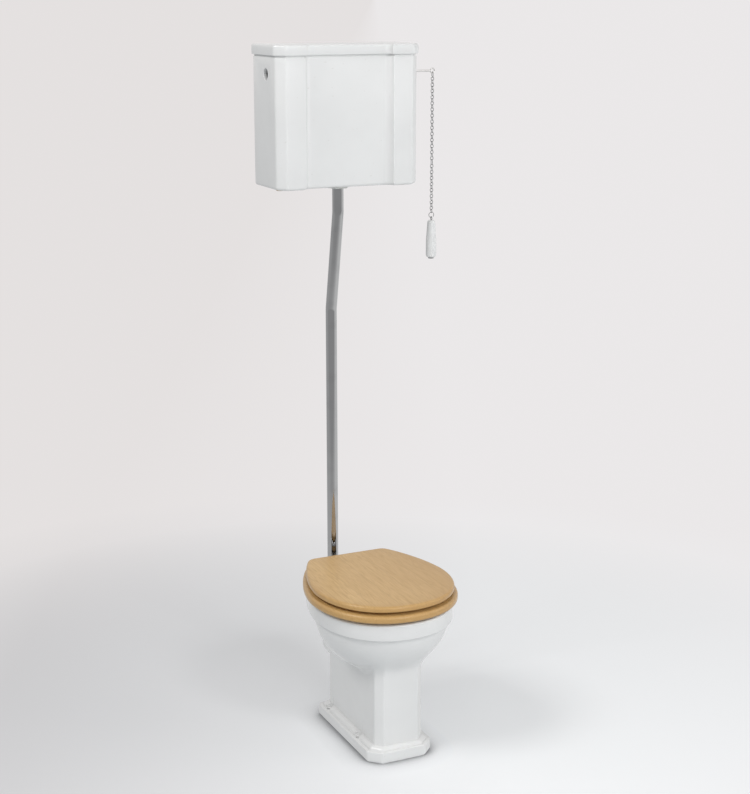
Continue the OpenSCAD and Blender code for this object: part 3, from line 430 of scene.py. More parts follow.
CHROME = Plating("polished_chrome", (0.465, 0.467, 0.470), (0.385, 0.387, 0.390), 0.05, 0.06)
BRASS = Plating("aged_brass", (0.62, 0.44, 0.19), (0.30, 0.19, 0.08), 0.22, 0.22)
RUBBER = Moulding("black_rubber", (0.020, 0.020, 0.021), (0.050, 0.048, 0.046), 0.55, 0.00006)
PLASTIC = Moulding("white_plastic", (0.74, 0.75, 0.73), (0.66, 0.66, 0.62), 0.32, 0.00003)
COATS = {
    Slot.CHINA: Glaze().dress(),
    Slot.OAK: Oak().dress(),
    Slot.CHROME: CHROME.dress(),
    Slot.BRASS: BRASS.dress(),
    Slot.RUBBER: RUBBER.dress(),
    Slot.PLASTIC: PLASTIC.dress(),
}
SATIN = Plating("satin_chrome", (0.80, 0.79, 0.78), (0.70, 0.69, 0.68), 0.30, 0.06).dress()


# ---- Outlines ----


@dataclass(frozen=True)
class Egg:
    """Egg-shaped outline, widest at its middle and cut straight across the back.

    Fields are its half width, its reach to the front, the reach that its curve would
    have to the rear, and the distance to the cut.
    """

    half_w: float
    front: float
    rear: float
    back: float

    def reach(self, q: float) -> float:
        """Distance from the middle to the outline.

        Args:
            q: angle from +X.

        Returns:
            The distance, eased where the curve meets the cut.
        """
        behind = math.sin(q) > 0
        power = 1.6 if behind else 2.15
        far = self.rear if behind else self.front
        side = abs(math.cos(q) / self.half_w) ** power
        curve = (side + abs(math.sin(q) / far) ** power) ** (-1 / power)
        if not behind:
            return curve
        cut, ease = self.back / math.sin(q), 48.0
        low = min(curve, cut)
        return low * ((low / curve) ** ease + (low / cut) ** ease) ** (-1 / ease)

    def drawn(self, d: float, rear: float = 1.0, back: float = 1.0) -> "Egg":
        """The same outline drawn in by a distance, and by shares of it behind."""
        return Egg(self.half_w - d, self.front - d, self.rear - d * rear, self.back - d * back)

    def shrunk(self, k: float) -> "Egg":
        """The same outline times a factor."""
        return Egg(self.half_w * k, self.front * k, self.rear * k, self.back * k)


@dataclass(frozen=True)
class Shaft:
    """Oblong outline with its four corners cut and slightly rounded.

    Fields are its half width, its reach to the front and to the back, the cuts of its
    front and back corners, and how crisp its corners are.
    """

    half_w: float
    front: float
    back: float
    cut: float
    back_cut: float
    crisp: float = 130.0

    def reach(self, q: float) -> float:
        """Distance from the middle to the outline.

        Args:
            q: angle from +X.

        Returns:
            The distance.
        """
        front = (self.half_w - self.cut + self.front) / math.sqrt(2)
        back = (self.half_w - self.back_cut + self.back) / math.sqrt(2)
        faces = [(0.0, self.half_w), (math.pi, self.half_w)]
        faces += [(-RIGHT, self.front), (RIGHT, self.back)]
        faces += [(-math.pi / 4, front), (-3 * math.pi / 4, front)]
        faces += [(math.pi / 4, back), (3 * math.pi / 4, back)]
        total = sum(max(0.0, math.cos(q - a) / d) ** self.crisp for a, d in faces)
        return total ** (-1 / self.crisp)


@dataclass(frozen=True)
class Round:
    """Circle seen from a middle that lies off its centre along Y."""

    radius: float
    centre_y: float

    def reach(self, q: float) -> float:
        """Distance from the middle to the circle at angle q."""
        half = math.sqrt(self.radius**2 - (self.centre_y * math.cos(q)) ** 2)
        return self.centre_y * math.sin(q) + half


@dataclass(frozen=True)
class Swell:
    """Two outlines grown together, eased outwards where they are close."""

    core: Union[Shaft, Round]
    skin: Egg
    ease: float = 14.0

    def reach(self, q: float) -> float:
        """Distance from the middle to the outer of the two.

        Args:
            q: angle from +X.

        Returns:
            The distance.
        """
        core, skin = self.core.reach(q), self.skin.reach(q)
        high = max(core, skin)
        return high * ((core / high) ** self.ease + (skin / high) ** self.ease) ** (1 / self.ease)


Shape = Union[Egg, Shaft, Round, Swell]


def polar(shape: Shape, z: float, count: int, mid_y: float = MID_Y) -> Outline:
    """Points round a shape.

    Args:
        shape: gives the distance from the middle at an angle.
        z: height of the points.
        count: how many points.
        mid_y: place of the middle along Y.

    Returns:
        The points, anticlockwise from +X.
    """
    points = []
    for i in range(count):
        q = TURN * (i + 0.5) / count
        r = shape.reach(q if q < math.pi else q - TURN)
        points.append(Vector((r * math.cos(q), mid_y + r * math.sin(q), z)))
    return points


def quarter(radius: float, steps: int) -> Profile:
    """Steps round a quarter circle, as (distance in, height) from (radius, 0) to (0, radius)."""
    angles = [RIGHT * i / steps for i in range(steps + 1)]
    return [(radius * (1 - math.sin(a)), radius * (1 - math.cos(a))) for a in angles]


def arc(radius: float, turn: float, steps: int) -> list[tuple[float, float, float]]:
    """Steps round a bend of a pipe, as (distance across, distance along, angle turned)."""
    angles = [turn * i / steps for i in range(steps + 1)]
    return [(radius * (1 - math.cos(a)), radius * math.sin(a), a) for a in angles]


def plug(radius: float, height: float) -> Profile:
    """Profile of a plain cylinder."""
    return [(0, 0), (radius, 0), (radius, height), (0, height)]


# ---- Meshes ----


class Form:
    """A mesh under construction, shaped with bmesh operators, in millimetres."""

    def __init__(self) -> None:
        """Starts empty, with a place number and an edge tone on each vertex."""
        self.bm = bmesh.new()
        self.place = self.bm.verts.layers.int.new("place")
        self.tone = self.bm.verts.layers.float.new("edge")

    def hoop(self, outline: Outline, tone: float = 0.0) -> list[bmesh.types.BMEdge]:
        """Starts a closed loop of edges on an outline.

        Args:
            outline: where its points go.
            tone: edge tone of its points.

        Returns:
            The loop's edges.
        """
        verts = bmesh.ops.create_circle(self.bm, segments=len(outline), radius=1.0)["verts"]
        for i, vert in enumerate(verts):
            vert.co = outline[i]
            vert[self.place] = i
            vert[self.tone] = tone
        return list({edge for vert in verts for edge in vert.link_edges})

    def next_hoop(
        self, edges: Sequence[bmesh.types.BMEdge], outline: Outline, tone: float = 0.0
    ) -> list[bmesh.types.BMEdge]:
        """Extrudes a loop of edges and puts its points on the next outline.

        Args:
            edges: the loop.
            outline: where the new points go.
            tone: their edge tone.

        Returns:
            The new loop's edges.
        """
        made = bmesh.ops.extrude_edge_only(self.bm, edges=list(edges))["geom"]
        verts = {item for item in made if isinstance(item, bmesh.types.BMVert)}
        for vert in verts:
            vert.co = outline[vert[self.place]]
            vert[self.tone] = tone
        made_edges = [item for item in made if isinstance(item, bmesh.types.BMEdge)]
        return [edge for edge in made_edges if set(edge.verts) <= verts]

    def loft(
        self, outlines: Sequence[Outline], tones: Sequence[float] = (), ring: bool = False
    ) -> "Form":
        """Skins a stack of outlines.

        Args:
            outlines: the stack, each with as many points.
            tones: edge tone of each outline.
            ring: joins the last outline to the first, where it would be capped.

        Returns:
            This form.
        """
        shades = list(tones) or [0.0] * len(outlines)
        first = loop = self.hoop(outlines[0], shades[0])
        for outline, tone in zip(outlines[1:], shades[1:]):
            loop = self.next_hoop(loop, outline, tone)
        if ring:
            bmesh.ops.bridge_loops(self.bm, edges=first + loop)
        else:
            bmesh.ops.contextual_create(self.bm, geom=first)
            bmesh.ops.contextual_create(self.bm, geom=loop)
        return self

    def lathe(self, profile: Profile, at: Point, axis: Axis = Axis.Z, steps: int = 72) -> "Form":
        """Spins a profile round an axis.

        Args:
            profile: closed run of (radius, height) points.
            at: where the profile's zero goes.
            axis: direction of the profile's height.
            steps: steps in the full turn.

        Returns:
            This form.
        """
        verts = [self.bm.verts.new((r, 0.0, h)) for r, h in profile]
        edges = [self.bm.edges.new(pair) for pair in zip(verts, verts[1:])]
        if profile[0][0] > 0.001 or profile[-1][0] > 0.001:
            edges.append(self.bm.edges.new((verts[-1], verts[0])))
        before = set(self.bm.verts) - set(verts)
        bmesh.ops.spin(
            self.bm,
            geom=verts + edges,
            cent=(0, 0, 0),
            axis=(0, 0, 1),
            angle=TURN,
            steps=steps,
            use_merge=True,
        )
        made = [v for v in self.bm.verts if v not in before]
        bmesh.ops.remove_doubles(self.bm, verts=made, dist=0.0005)
        made = [v for v in self.bm.verts if v not in before]
        bmesh.ops.transform(self.bm, matrix=Matrix.Translation(at) @ axis.turn(), verts=made)
        return self

    def soften(self, width: float, angle: float) -> "Form":
        """Rounds sharp edges.

        Args:
            width: how far the rounding reaches.
            angle: least angle between two faces, in degrees, that counts as sharp.

        Returns:
            This form.
        """
        least = math.radians(angle)
        whole = [edge for edge in self.bm.edges if edge.is_manifold]
        bmesh.ops.bevel(
            self.bm,
            geom=[edge for edge in whole if edge.calc_face_angle(0.0) > least],
            offset=width,
            offset_type="OFFSET",
            segments=2,
            profile=0.5,
            affect="EDGES",
            clamp_overlap=True,
            material=-1,
        )
        return self

    def scale(self, factor: float) -> None:
        """Scales the mesh about the origin."""
        bmesh.ops.transform(self.bm, matrix=Matrix.Scale(factor, 4), verts=self.bm.verts)

    def place_in_scene(self, name: str) -> bpy.types.Object:
        """Puts the mesh, with its faces turned outwards, in the scene.

        Args:
            name: name of the object and its mesh.

        Returns:
            The object.
        """
        bmesh.ops.recalc_face_normals(self.bm, faces=self.bm.faces)
        mesh = bpy.data.meshes.new(name)
        self.bm.to_mesh(mesh)
        self.bm.free()
        piece = bpy.data.objects.new(name, mesh)
        bpy.context.scene.collection.objects.link(piece)
        return piece

    def carve(self, cutter: "Form") -> "Form":
        """Cuts another form away.

        Args:
            cutter: the form to take out.

        Returns:
            A form that holds what is left.
        """
        body, tool = self.place_in_scene("body"), cutter.place_in_scene("tool")
        cut = body.modifiers.new("cut", "BOOLEAN")
        cut.operation = "DIFFERENCE"
        cut.solver = "EXACT"
        cut.object = tool
        graph = bpy.context.evaluated_depsgraph_get()
        mesh = bpy.data.meshes.new_from_object(body.evaluated_get(graph))
        left = Form()
        left.bm.from_mesh(mesh)
        left.place = left.bm.verts.layers.int.get("place")
        left.tone = left.bm.verts.layers.float.get("edge")
        for piece in (body, tool):
            data = piece.data
            bpy.data.objects.remove(piece)
            bpy.data.meshes.remove(data)
        bpy.data.meshes.remove(mesh)
        return left

    def finish(
        self, name: str, slot: Slot, body: str, nodes: Iterable[str] = (), crease: float = 34.0
    ) -> None:
        """Makes the piece: its mesh in metres, its finish, the body it rides on.

        Args:
            name: the piece's name.
            slot: its finish.
            body: the body that it moves with.
            nodes: the solids that it stands for.
            crease: angle, in degrees, above which an edge stays sharp.
        """
        self.scale(MM)
        piece = self.place_in_scene(name)
        piece.data.shade_smooth()
        piece.data.set_sharp_from_angle(angle=math.radians(crease))
        piece.data.materials.append(COATS[slot])
        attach(piece, body)
        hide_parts(*nodes)
        log.info("%s: %d triangles", name, sum(len(p.vertices) - 2 for p in piece.data.polygons))


def body_of(node: str) -> str:
    """Name of the body that a node rides on."""
    return frame["nodes"][node]["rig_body"]


def dress_node(node: str, slot: Slot, coat: Optional[bpy.types.Material] = None) -> None:
    """Gives a node of the frame its finish.

    Args:
        node: the node's name.
        slot: its finish.
        coat: the material, the slot's own unless given.
    """
    piece = frame["nodes"][node]
    piece.data.materials.clear()
    piece.data.materials.append(coat or COATS[slot])
    log.info("%s: %s", node, slot.value)


def dress_nodes(finishes: dict[Slot, Sequence[str]]) -> None:
    """Gives many nodes their finish.

    Args:
        finishes: the nodes' names under the slot of their finish.
    """
    for slot, nodes in finishes.items():
        for node in nodes:
            dress_node(node, slot)


def rounded_copy(node: str, slot: Slot, width: float, crease: float = 34.0) -> None:
    """Replaces a node with a merged copy whose sharp edges are rounded.

    Args:
        node: the node's name.
        slot: its finish.
        width: reach of the rounding in millimetres.
        crease: angle, in degrees, above which an edge counts as sharp.
    """
    form = Form()
    form.bm.from_mesh(frame["nodes"][node].data)
    form.scale(1 / MM)
    bmesh.ops.remove_doubles(form.bm, verts=form.bm.verts, dist=0.002)
    bmesh.ops.dissolve_limit(
        form.bm, angle_limit=math.radians(0.6), verts=form.bm.verts, edges=form.bm.edges
    )
    form.soften(width, crease)
    form.finish(f"{node}_finished", slot, body_of(node), [node])


# ---- Sub-assemblies ----


@dataclass
class Pan:
    """China pan: plinth, chamfered column, bowl, rim with its channel, trap and horn."""

    rim_z: float = 400.0
    band_z: float = 358.0
    lip_z: float = 354.0
    horn_z: float = 345.0
    spigot_z: float = 185.0
    bowl_depth: float = 156.0
    inside_depth: float = 140.0
    bulge: float = 1.81
    bowl_steps: int = 27
    plinth_h: float = 30.0
    ledge_w: float = 10.0
    cove_w: float = 25.0
    cove_h: float = 10.0
    count: int = 480
    foot: Shaft = Shaft(92.5, 147.5, 207.5, 30, 8)
    hollow: Shaft = Shaft(56.5, 118, 178, 15, 15)
    mouth: Shaft = Shaft(58, 119.5, 179.5, 15, 15)
    rim: Egg = Egg(181, 206, 330, 250)
    bowl: Egg = Egg(175, 188, 225, 225)
    inside: Egg = Egg(160, 173, 210, 165)
    opening: Egg = Egg(118, 142, 185.6, 128)
    sump: Round = Round(36, 29)
    screws: tuple[float, float] = (80.0, 95.5)
    studs: tuple[float, float] = (77.5, 169.0)

    def _row(self, shape: Shape, z: float) -> Outline:
        """A shape's points at a height."""
        return polar(shape, z, self.count)

    def _cove(self, d: float) -> Shaft:
        """Plinth's outline drawn in.

        Args:
            d: how far, at most the cove's width, which gives the column.

        Returns:
            The outline.
        """
        foot, share = self.foot, d * 18.5 / self.cove_w
        cut = foot.cut - 11 * d / self.cove_w
        return Shaft(foot.half_w - d, foot.front - share, foot.back - share, cut, foot.back_cut)

    def _fullness(self, step: int) -> tuple[float, float]:
        """Share of the bowl's width and of its depth at a step below the rim."""
        u = RIGHT * step / (self.bowl_steps + 0.5)
        return math.cos(u) ** (2 / self.bulge), math.sin(u) ** (2 / self.bulge)

    def _outside(self) -> list[Outline]:
        """Shapes the hollow foot, the plinth, the column and the bowl's outside.

        Returns:
            Outlines from inside the foot up to the band under the rim.
        """
        rows = [self._row(self.hollow, z) for z in (196, 195, 100, 1.5)]
        rows.append(self._row(self.mouth, 0))
        coves = [(3.6, 0.0), (3.6, 2.2), (2.2, 2.6), (0.9, 3.2), (0.2, 4.4), (0.0, 6.0)]
        coves += [(d, self.plinth_h - z) for d, z in reversed(quarter(2.2, 4))]
        for i in range(10):
            q = RIGHT * i / 9
            d = self.ledge_w + (self.cove_w - self.ledge_w) * (1 - math.cos(q))
            coves.append((d, self.plinth_h + self.cove_h * math.sin(q)))
        coves += [(self.cove_w, z) for z in (60, 90, 125, 160, 188)]
        rows += [self._row(self._cove(d), z) for d, z in coves]
        column = self._cove(self.cove_w)
        for i in range(self.bowl_steps, -1, -1):
            width, depth = self._fullness(i)
            shape = Swell(column, self.bowl.shrunk(width))
            rows.append(self._row(shape, self.band_z - self.bowl_depth * depth))
        return rows

    def _rim(self) -> list[Outline]:
        """Shapes the band, the rim's top and its hanging lip.

        Returns:
            Outlines from under the band, over the rim, to the channel behind the lip.
        """
        rim, hole = self.rim, self.opening
        rows = [(rim.drawn(3.2), self.band_z)]
        rows += [(rim.drawn(d), self.band_z + z) for d, z in quarter(2.6, 3)]
        rows += [(rim.drawn(d), self.rim_z - z) for d, z in reversed(quarter(6.0, 6))]
        rows += [(rim.drawn(14), self.rim_z)]
        rows += [(hole.drawn(-d - 0.01), self.rim_z - z) for d, z in quarter(7.0, 5)]
        rows += [(hole, 372)]
        rows += [(hole.drawn(-d), self.lip_z + z) for d, z in reversed(quarter(4.0, 4))]
        rows += [(hole.drawn(d - 10), self.lip_z + z) for d, z in quarter(3.0, 3)]
        rows += [(hole.drawn(-10), 384), (hole.drawn(-14), 389)]
        return [self._row(egg, z) for egg, z in rows]

    def _inside(self) -> list[Outline]:
        """Shapes the bowl's inside and the sump.

        Returns:
            Outlines from the channel down to the bottom of the sump.
        """
        rows = [self._row(self.inside.drawn(d), z) for d, z in ((3, 389), (0, 384))]
        for i in range(self.bowl_steps):
            width, depth = self._fullness(i)
            shape = Swell(self.sump, self.inside.shrunk(width), 9)
            rows.append(self._row(shape, self.lip_z - self.inside_depth * depth))
        for r, z in ((36, 200), (36, 150), (36, 70), (33, 52), (24, 44), (10, 42)):
            off = r * 0.78
            middle = MID_Y + max(0, self.sump.centre_y - off)
            rows.append(polar(Round(r, min(self.sump.centre_y, off)), z, self.count, middle))
        return rows

    def _cutters(self) -> Form:
        """Shapes screw holes with their flats, stud holes, and the bores of spigot and horn.

        Returns:
            The form to cut away.
        """
        tools = Form()
        top = self.plinth_h
        screw = [(0, -2), (4.5, -2), (4.5, top - 1.2), (5.7, top), (13, top)]
        screw += [(13, top + 30), (0, top + 30)]
        for x in (-self.screws[0], self.screws[0]):
            for y in (-self.screws[1], self.screws[1]):
                tools.lathe(screw, (x, y, 0), steps=48)
            stud = math.copysign(self.studs[0], x)
            tools.lathe(plug(7, 60), (stud, self.studs[1], 345), steps=40)
        tools.lathe(plug(42, 30), (0, 104, self.spigot_z), Axis.Y, 72)
        tools.lathe(plug(20, 50), (0, 150, self.horn_z), Axis.Y, 56)
        return tools

    def build(self) -> None:
        """Builds and dresses the pan."""
        shell = Form().loft(self._outside() + self._rim() + self._inside())
        shell = shell.carve(self._cutters())
        spigot = [(0, 0), (60, 0), (60, 60), (56, 62.5), (52.6, 66), (51, 71), (51, 139)]
        spigot += [(50, 140.6), (48, 141), (44, 141), (42.4, 140.4), (42, 139), (42, 20), (0, 8)]
        shell.lathe(spigot, (0, 60, self.spigot_z), Axis.Y, 80)
        horn = [(0, 0), (33, 0), (33, 22), (29.5, 25), (27, 30), (27, 57), (25, 59), (22, 59)]
        horn += [(20, 57), (20, 10), (0, 10)]
        shell.lathe(horn, (0, 130, self.horn_z), Axis.Y, 64)
        sump_wall = [(0, 0), (38, 0), (45, 6), (45, 167), (0, 167)]
        shell.lathe(sump_wall, (0, -36, 32), Axis.Z, 56)
        trap_wall = [(0, 0), (36, 0), (42, 6), (42, 170), (0, 170)]
        shell.lathe(trap_wall, (0, 76, 32), Axis.Z, 56)
        shell.lathe(plug(35, 112), (0, -36, 70), Axis.Y, 48)
        nodes = ["pan_foot", "pan_bowl", "pan_rim", "pan_trap"]
        shell.finish("pan_glazed", Slot.CHINA, "toilet", nodes, 30)


@dataclass
class Tank:
    """China tank with a sunk front panel between two wings, and its loose lid."""

    width: float = 393.0
    front_y: float = 110.0
    wall_y: float = 280.0
    wall: float = 9.0
    base_z: float = 1450.0
    top_z: float = 1781.0
    floor_z: float = 1462.0
    hole_z: float = 1736.0
    chamfer: float = 22.0
    chamfer_loss: float = 0.586
    cove_x: float = 101.0
    cove_r: float = 20.0
    lid_top_z: float = 1809.1
    lid_gap: float = 2.5
    overhang: float = 4.6

    def _half(self, d: float, back: float) -> list[tuple[float, float, float]]:
        """Right half of the plan.

        Args:
            d: how far it is drawn in.
            back: place of its back along Y.

        Returns:
            Its corners from the middle of the front, as x, y and radius.
        """
        r = self.cove_r + d
        first = math.asin(max(-0.9, min(0.9, d / r)))
        run = [(0.0, self.front_y + r, 0.0)]
        for i in range(9):
            q = RIGHT - (RIGHT - first) * i / 8
            corner = 2.2 if i == 8 else 0.0
            run.append((self.cove_x + r * math.cos(q), self.front_y + r * math.sin(q), corner))
        x, front = self.width / 2 - d, self.front_y + d
        cut = self.chamfer - self.chamfer_loss * d
        return run + [(x - cut, front, 5.0), (x, front + cut, 5.0), (x, back, 2.5)]

    def _plan(self, d: float, z: float, back: Optional[float] = None) -> Outline:
        """Whole plan at a height.

        Args:
            d: how far it is drawn in.
            z: the height.
            back: place of its back along Y, the wall's unless given.

        Returns:
            The plan's points.
        """
        run = self._half(d, self.wall_y if back is None else back)
        run.append((0.0, run[-1][1], 0.0))
        places = [Vector((x, y, z)) for x, y, _ in run]
        points: list[Vector] = []
        for i, here in enumerate(places):
            radius = run[i][2]
            if radius == 0.0:
                points.append(here)
                continue
            before, after = places[i - 1] - here, places[i + 1] - here
            a = here + before.normalized() * min(radius, before.length * 0.8)
            b = here + after.normalized() * min(radius, after.length * 0.45)
            for k in range(5):
                t = k / 4
                points.append(a * (1 - t) ** 2 + here * 2 * t * (1 - t) + b * t * t)
        return points + [Vector((-p.x, p.y, p.z)) for p in reversed(points[1:-1])]

    def _holes(self) -> Form:
        """Shapes outlet, valve hole, two side holes and two wall screw holes.

        Returns:
            The form to cut away.
        """
        tools = Form()
        tools.lathe(plug(20, 30), (0, OUTLET_Y, self.base_z - 10), steps=64)
        tools.lathe(plug(11.2, 30), (-146, 232, self.base_z - 10), steps=48)
        side = [(0, 0), (16, 0), (16, 2), (14.4, 3.2), (14, 4.5), (14, 20), (0, 20)]
        tools.lathe(side, (-198.5, OUTLET_Y, self.hole_z), Axis.X, 56)
        right = [(r, 20 - h) for r, h in reversed(side)]
        tools.lathe(right, (178.5, OUTLET_Y, self.hole_z), Axis.X, 56)
        for x in (-130, 130):
            tools.lathe(plug(4, 20), (x, 266, 1751), Axis.Y, 32)
        return tools

    def build_tank(self) -> None:
        """Builds and dresses the tank."""
        wall, top, inner_y = self.wall, self.top_z, self.wall_y - self.wall
        rows = [self._plan(wall + 6, self.base_z)]
        rows += [self._plan(d, self.base_z + z) for d, z in quarter(9.0, 7)]
        rows += [self._plan(d, top - 2.6 - z) for d, z in reversed(quarter(0.8, 3))]
        rows += [self._plan(d, top - z) for d, z in ((2.4, 2.6), (2.4, 0.6), (3.0, 0.0))]
        rows += [self._plan(wall - d, top - z, inner_y + d) for d, z in quarter(1.6, 3)]
        for d, z in reversed(quarter(7.0, 4)):
            rows.append(self._plan(wall + d, self.floor_z + z, inner_y - d))
        china = Form().loft(rows).carve(self._holes())
        china.finish("tank_glazed", Slot.CHINA, "toilet", ["tank"], 30)

    def build_lid(self) -> None:
        """Builds and dresses the tank's lid."""
        low, top, wall_y = self.top_z + self.lid_gap, self.lid_top_z, self.wall_y
        under = [(24, 1801.1), (18, 1797), (18, 1769.6), (17.4, 1769), (10.6, 1769)]
        under += [(10, 1769.6), (10, self.top_z), (2, self.top_z), (2, low)]
        rows = [self._plan(d, z, wall_y - d) for d, z in under]
        rows += [self._plan(d - self.overhang, low + z, wall_y) for d, z in quarter(1.2, 3)]
        for d, z in reversed(quarter(5.0, 6)):
            rows.append(self._plan(d - self.overhang, top - z, wall_y))
        rows.append(self._plan(8, top, wall_y - 4))
        lid = Form().loft(rows)
        lid.finish("tank_lid_glazed", Slot.CHINA, "tank_cover", ["tank_lid"], 30)

    def build(self) -> None:
        """Builds the tank and its lid."""
        self.build_tank()
        self.build_lid()


@dataclass
class Seat:
    """Oak seat: a ring and a lid of glued boards with rounded, varnished edges."""

    ring_z: float = 408.0
    ring_t: float = 20.0
    lid_z: float = 435.0
    lid_t: float = 16.0
    lid_mid_y: float = MID_Y - 5
    count: int = 224
    ring: Egg = Egg(195, 216, 315.9, 225)
    hole: Egg = Egg(112, 136, 155, 124)
    lid: Egg = Egg(185, 202, 320, 220)

    def build_ring(self) -> None:
        """Builds and dresses the seat ring, from steps of (distance in, height, edge tone)."""
        low, top = self.ring_z, self.ring_z + self.ring_t
        below, above = quarter(5.5, 4), quarter(8.0, 7)
        outer = [(14, low, 0.8)]
        outer += [(d, low + z, 1.0 + (d / 5.5) ** 0.5) for d, z in below]
        outer += [(d, top - 0.35 - z, 1.0 - 0.55 * d / 8) for d, z in reversed(above)]
        outer += [(13, top - 0.1, 0.25), (24, top, 0.0)]
        inner = [(24, top, 0.0), (13, top - 0.1, 0.2)]
        inner += [(d, top - 0.35 - z, 1.0 - 0.55 * d / 8) for d, z in above]
        inner += [(d, low + z, 1.0) for d, z in reversed(below)]
        inner += [(14, low, 0.2)]
        rows = [polar(self.ring.drawn(d, 1.0, 0.5), z, self.count) for d, z, _ in outer]
        rows += [polar(self.hole.drawn(-d, 1.25), z, self.count) for d, z, _ in inner]
        form = Form().loft(rows, [tone for *_, tone in outer + inner], ring=True)
        form.finish("seat_ring_oak", Slot.OAK, "seat", ["seat_ring"], 40)

    def build_lid(self) -> None:
        """Builds and dresses the seat lid, from steps of (distance in, height, edge tone)."""
        low, top = self.lid_z, self.lid_z + self.lid_t
        steps = [(40, low, 0.0), (10, low, 0.3)]
        steps += [(d, low + z, 1.0 + (d / 3.5) ** 0.5) for d, z in quarter(3.5, 4)]
        steps += [(d, top - 0.4 - z, 1.0 - 0.6 * d / 7) for d, z in reversed(quarter(7.0, 7))]
        steps += [(12, top - 0.15, 0.25), (24, top, 0.05), (60, top, 0.0)]
        eggs = [(self.lid.drawn(d, 1.0, 0.5), z) for d, z, _ in steps]
        rows = [polar(egg, z, self.count, self.lid_mid_y) for egg, z in eggs]
        form = Form().loft(rows, [tone for *_, tone in steps])
        form.finish("seat_lid_oak", Slot.OAK, "lid", ["seat_lid"], 40)

    def build(self) -> None:
        """Builds the ring and the lid, and rounds the buffers."""
        self.build_ring()
        self.build_lid()
        for node in ("ring_buffers", "lid_buffers"):
            rounded_copy(node, Slot.RUBBER, 0.8)


@dataclass
class FlushPipe:
    """Chrome flush pipe in two lengths, with its rubber cone and inner sleeve."""

    radius: float = 15.0
    wall: float = 1.2
    lip: float = 0.4
    pipe_y: float = 243.0
    joint_z: float = 1040.0
    horn_z: float = 345.0
    foot_r: float = 36.0
    foot_y: float = 175.0
    lower_bend_z: float = 1113.0
    upper_bend_z: float = 1378.0
    bend_r: float = 60.0
    top_z: float = 1462.0
    sides: int = 64

    def _hoop(self, station: Point, r: float) -> Outline:
        """Circle across the tube.

        Args:
            station: y, z and lean from upright in radians.
            r: its radius.

        Returns:
            Its points.
        """
        y, z, lean = station
        turns = [TURN * i / self.sides for i in range(self.sides)]
        spots = [(r * math.cos(q), r * math.sin(q)) for q in turns]
        return [Vector((a, y + b * math.cos(lean), z + b * math.sin(lean))) for a, b in spots]

    def _tube(self, way: Sequence[Point]) -> Form:
        """Hollow tube with eased outer ends.

        Args:
            way: stations as y, z and lean from upright in radians.

        Returns:
            The tube.
        """
        ends = [self._hoop(way[i], self.radius - self.lip) for i in (0, -1)]
        outer = [ends[0]] + [self._hoop(s, self.radius) for s in way] + [ends[1]]
        inner = [self._hoop(s, self.radius - self.wall) for s in reversed(way)]
        return Form().loft(outer + inner, ring=True)

    def _lower_way(self) -> list[Point]:
        """Leads the lower length from the joint down into the horn.

        Returns:
            Its stations.
        """
        foot_z = self.horn_z + self.foot_r
        way = [(self.pipe_y, self.joint_z, 0.0), (self.pipe_y, 700.0, 0.0)]
        way += [(self.pipe_y - y, foot_z - z, -q) for y, z, q in arc(self.foot_r, RIGHT, 16)]
        return way + [(self.foot_y, self.horn_z, -RIGHT)]

    def _upper_way(self) -> list[Point]:
        """Leads the upper length from the joint up through the tank's floor.

        Returns:
            Its stations.
        """
        lean = math.atan2(self.pipe_y - OUTLET_Y, self.upper_bend_z - self.lower_bend_z)
        trim = self.bend_r * math.tan(lean / 2)
        low, high = self.lower_bend_z - trim, self.upper_bend_z + trim
        bend = arc(self.bend_r, lean, 8)
        way = [(self.pipe_y, self.joint_z, 0.0)]
        way += [(self.pipe_y - y, low + z, q) for y, z, q in bend]
        way += [(OUTLET_Y + y, high - z, q) for y, z, q in reversed(bend)]
        return way + [(OUTLET_Y, self.top_z, 0.0)]

    def build(self) -> None:
        """Builds and dresses the pipe."""
        lengths = (("lower", self._lower_way()), ("upper", self._upper_way()))
        for name, way in lengths:
            nodes = [f"{name}_flush_pipe"]
            self._tube(way).finish(f"{name}_pipe_chrome", Slot.CHROME, "toilet", nodes)
        dress_node("pipe_sleeve", Slot.BRASS)
        rounded_copy("flush_cone", Slot.RUBBER, 0.8)


@dataclass
class Hinge:
    """Chrome seat hinge with its pillars, bar, straps and fixings."""

    edge: float = 0.5

    def build(self) -> None:
        """Rounds and dresses the hinge."""
        for node in ("hinge_pillars", "ring_straps", "lid_straps"):
            rounded_copy(node, Slot.CHROME, self.edge)
        rounded_copy("wing_nuts", Slot.BRASS, self.edge)
        dress_nodes(
            {
                Slot.CHROME: ["hinge_bar", "bar_caps"],
                Slot.BRASS: ["fixing_studs"],
                Slot.RUBBER: ["stud_washers"],
            }
        )


@dataclass
class FlushGear:
    """Siphon and plunger in the tank, with the float valve beside them."""

    siphon: tuple[str, ...] = ("siphon", "siphon_nut")
    plunger: tuple[str, ...] = ("plunger_plate", "lift_rod", "lift_loop")
    valve: tuple[str, ...] = ("valve_body", "valve_nut", "float_pin", "float_arm")
    seals: tuple[str, ...] = ("siphon_washer", "diaphragm", "valve_washer")

    def build(self) -> None:
        """Dresses the gear."""
        dress_nodes(
            {
                Slot.PLASTIC: self.siphon + ("fill_tube", "float_ball"),
                Slot.BRASS: self.plunger + self.valve,
                Slot.RUBBER: self.seals,
            }
        )


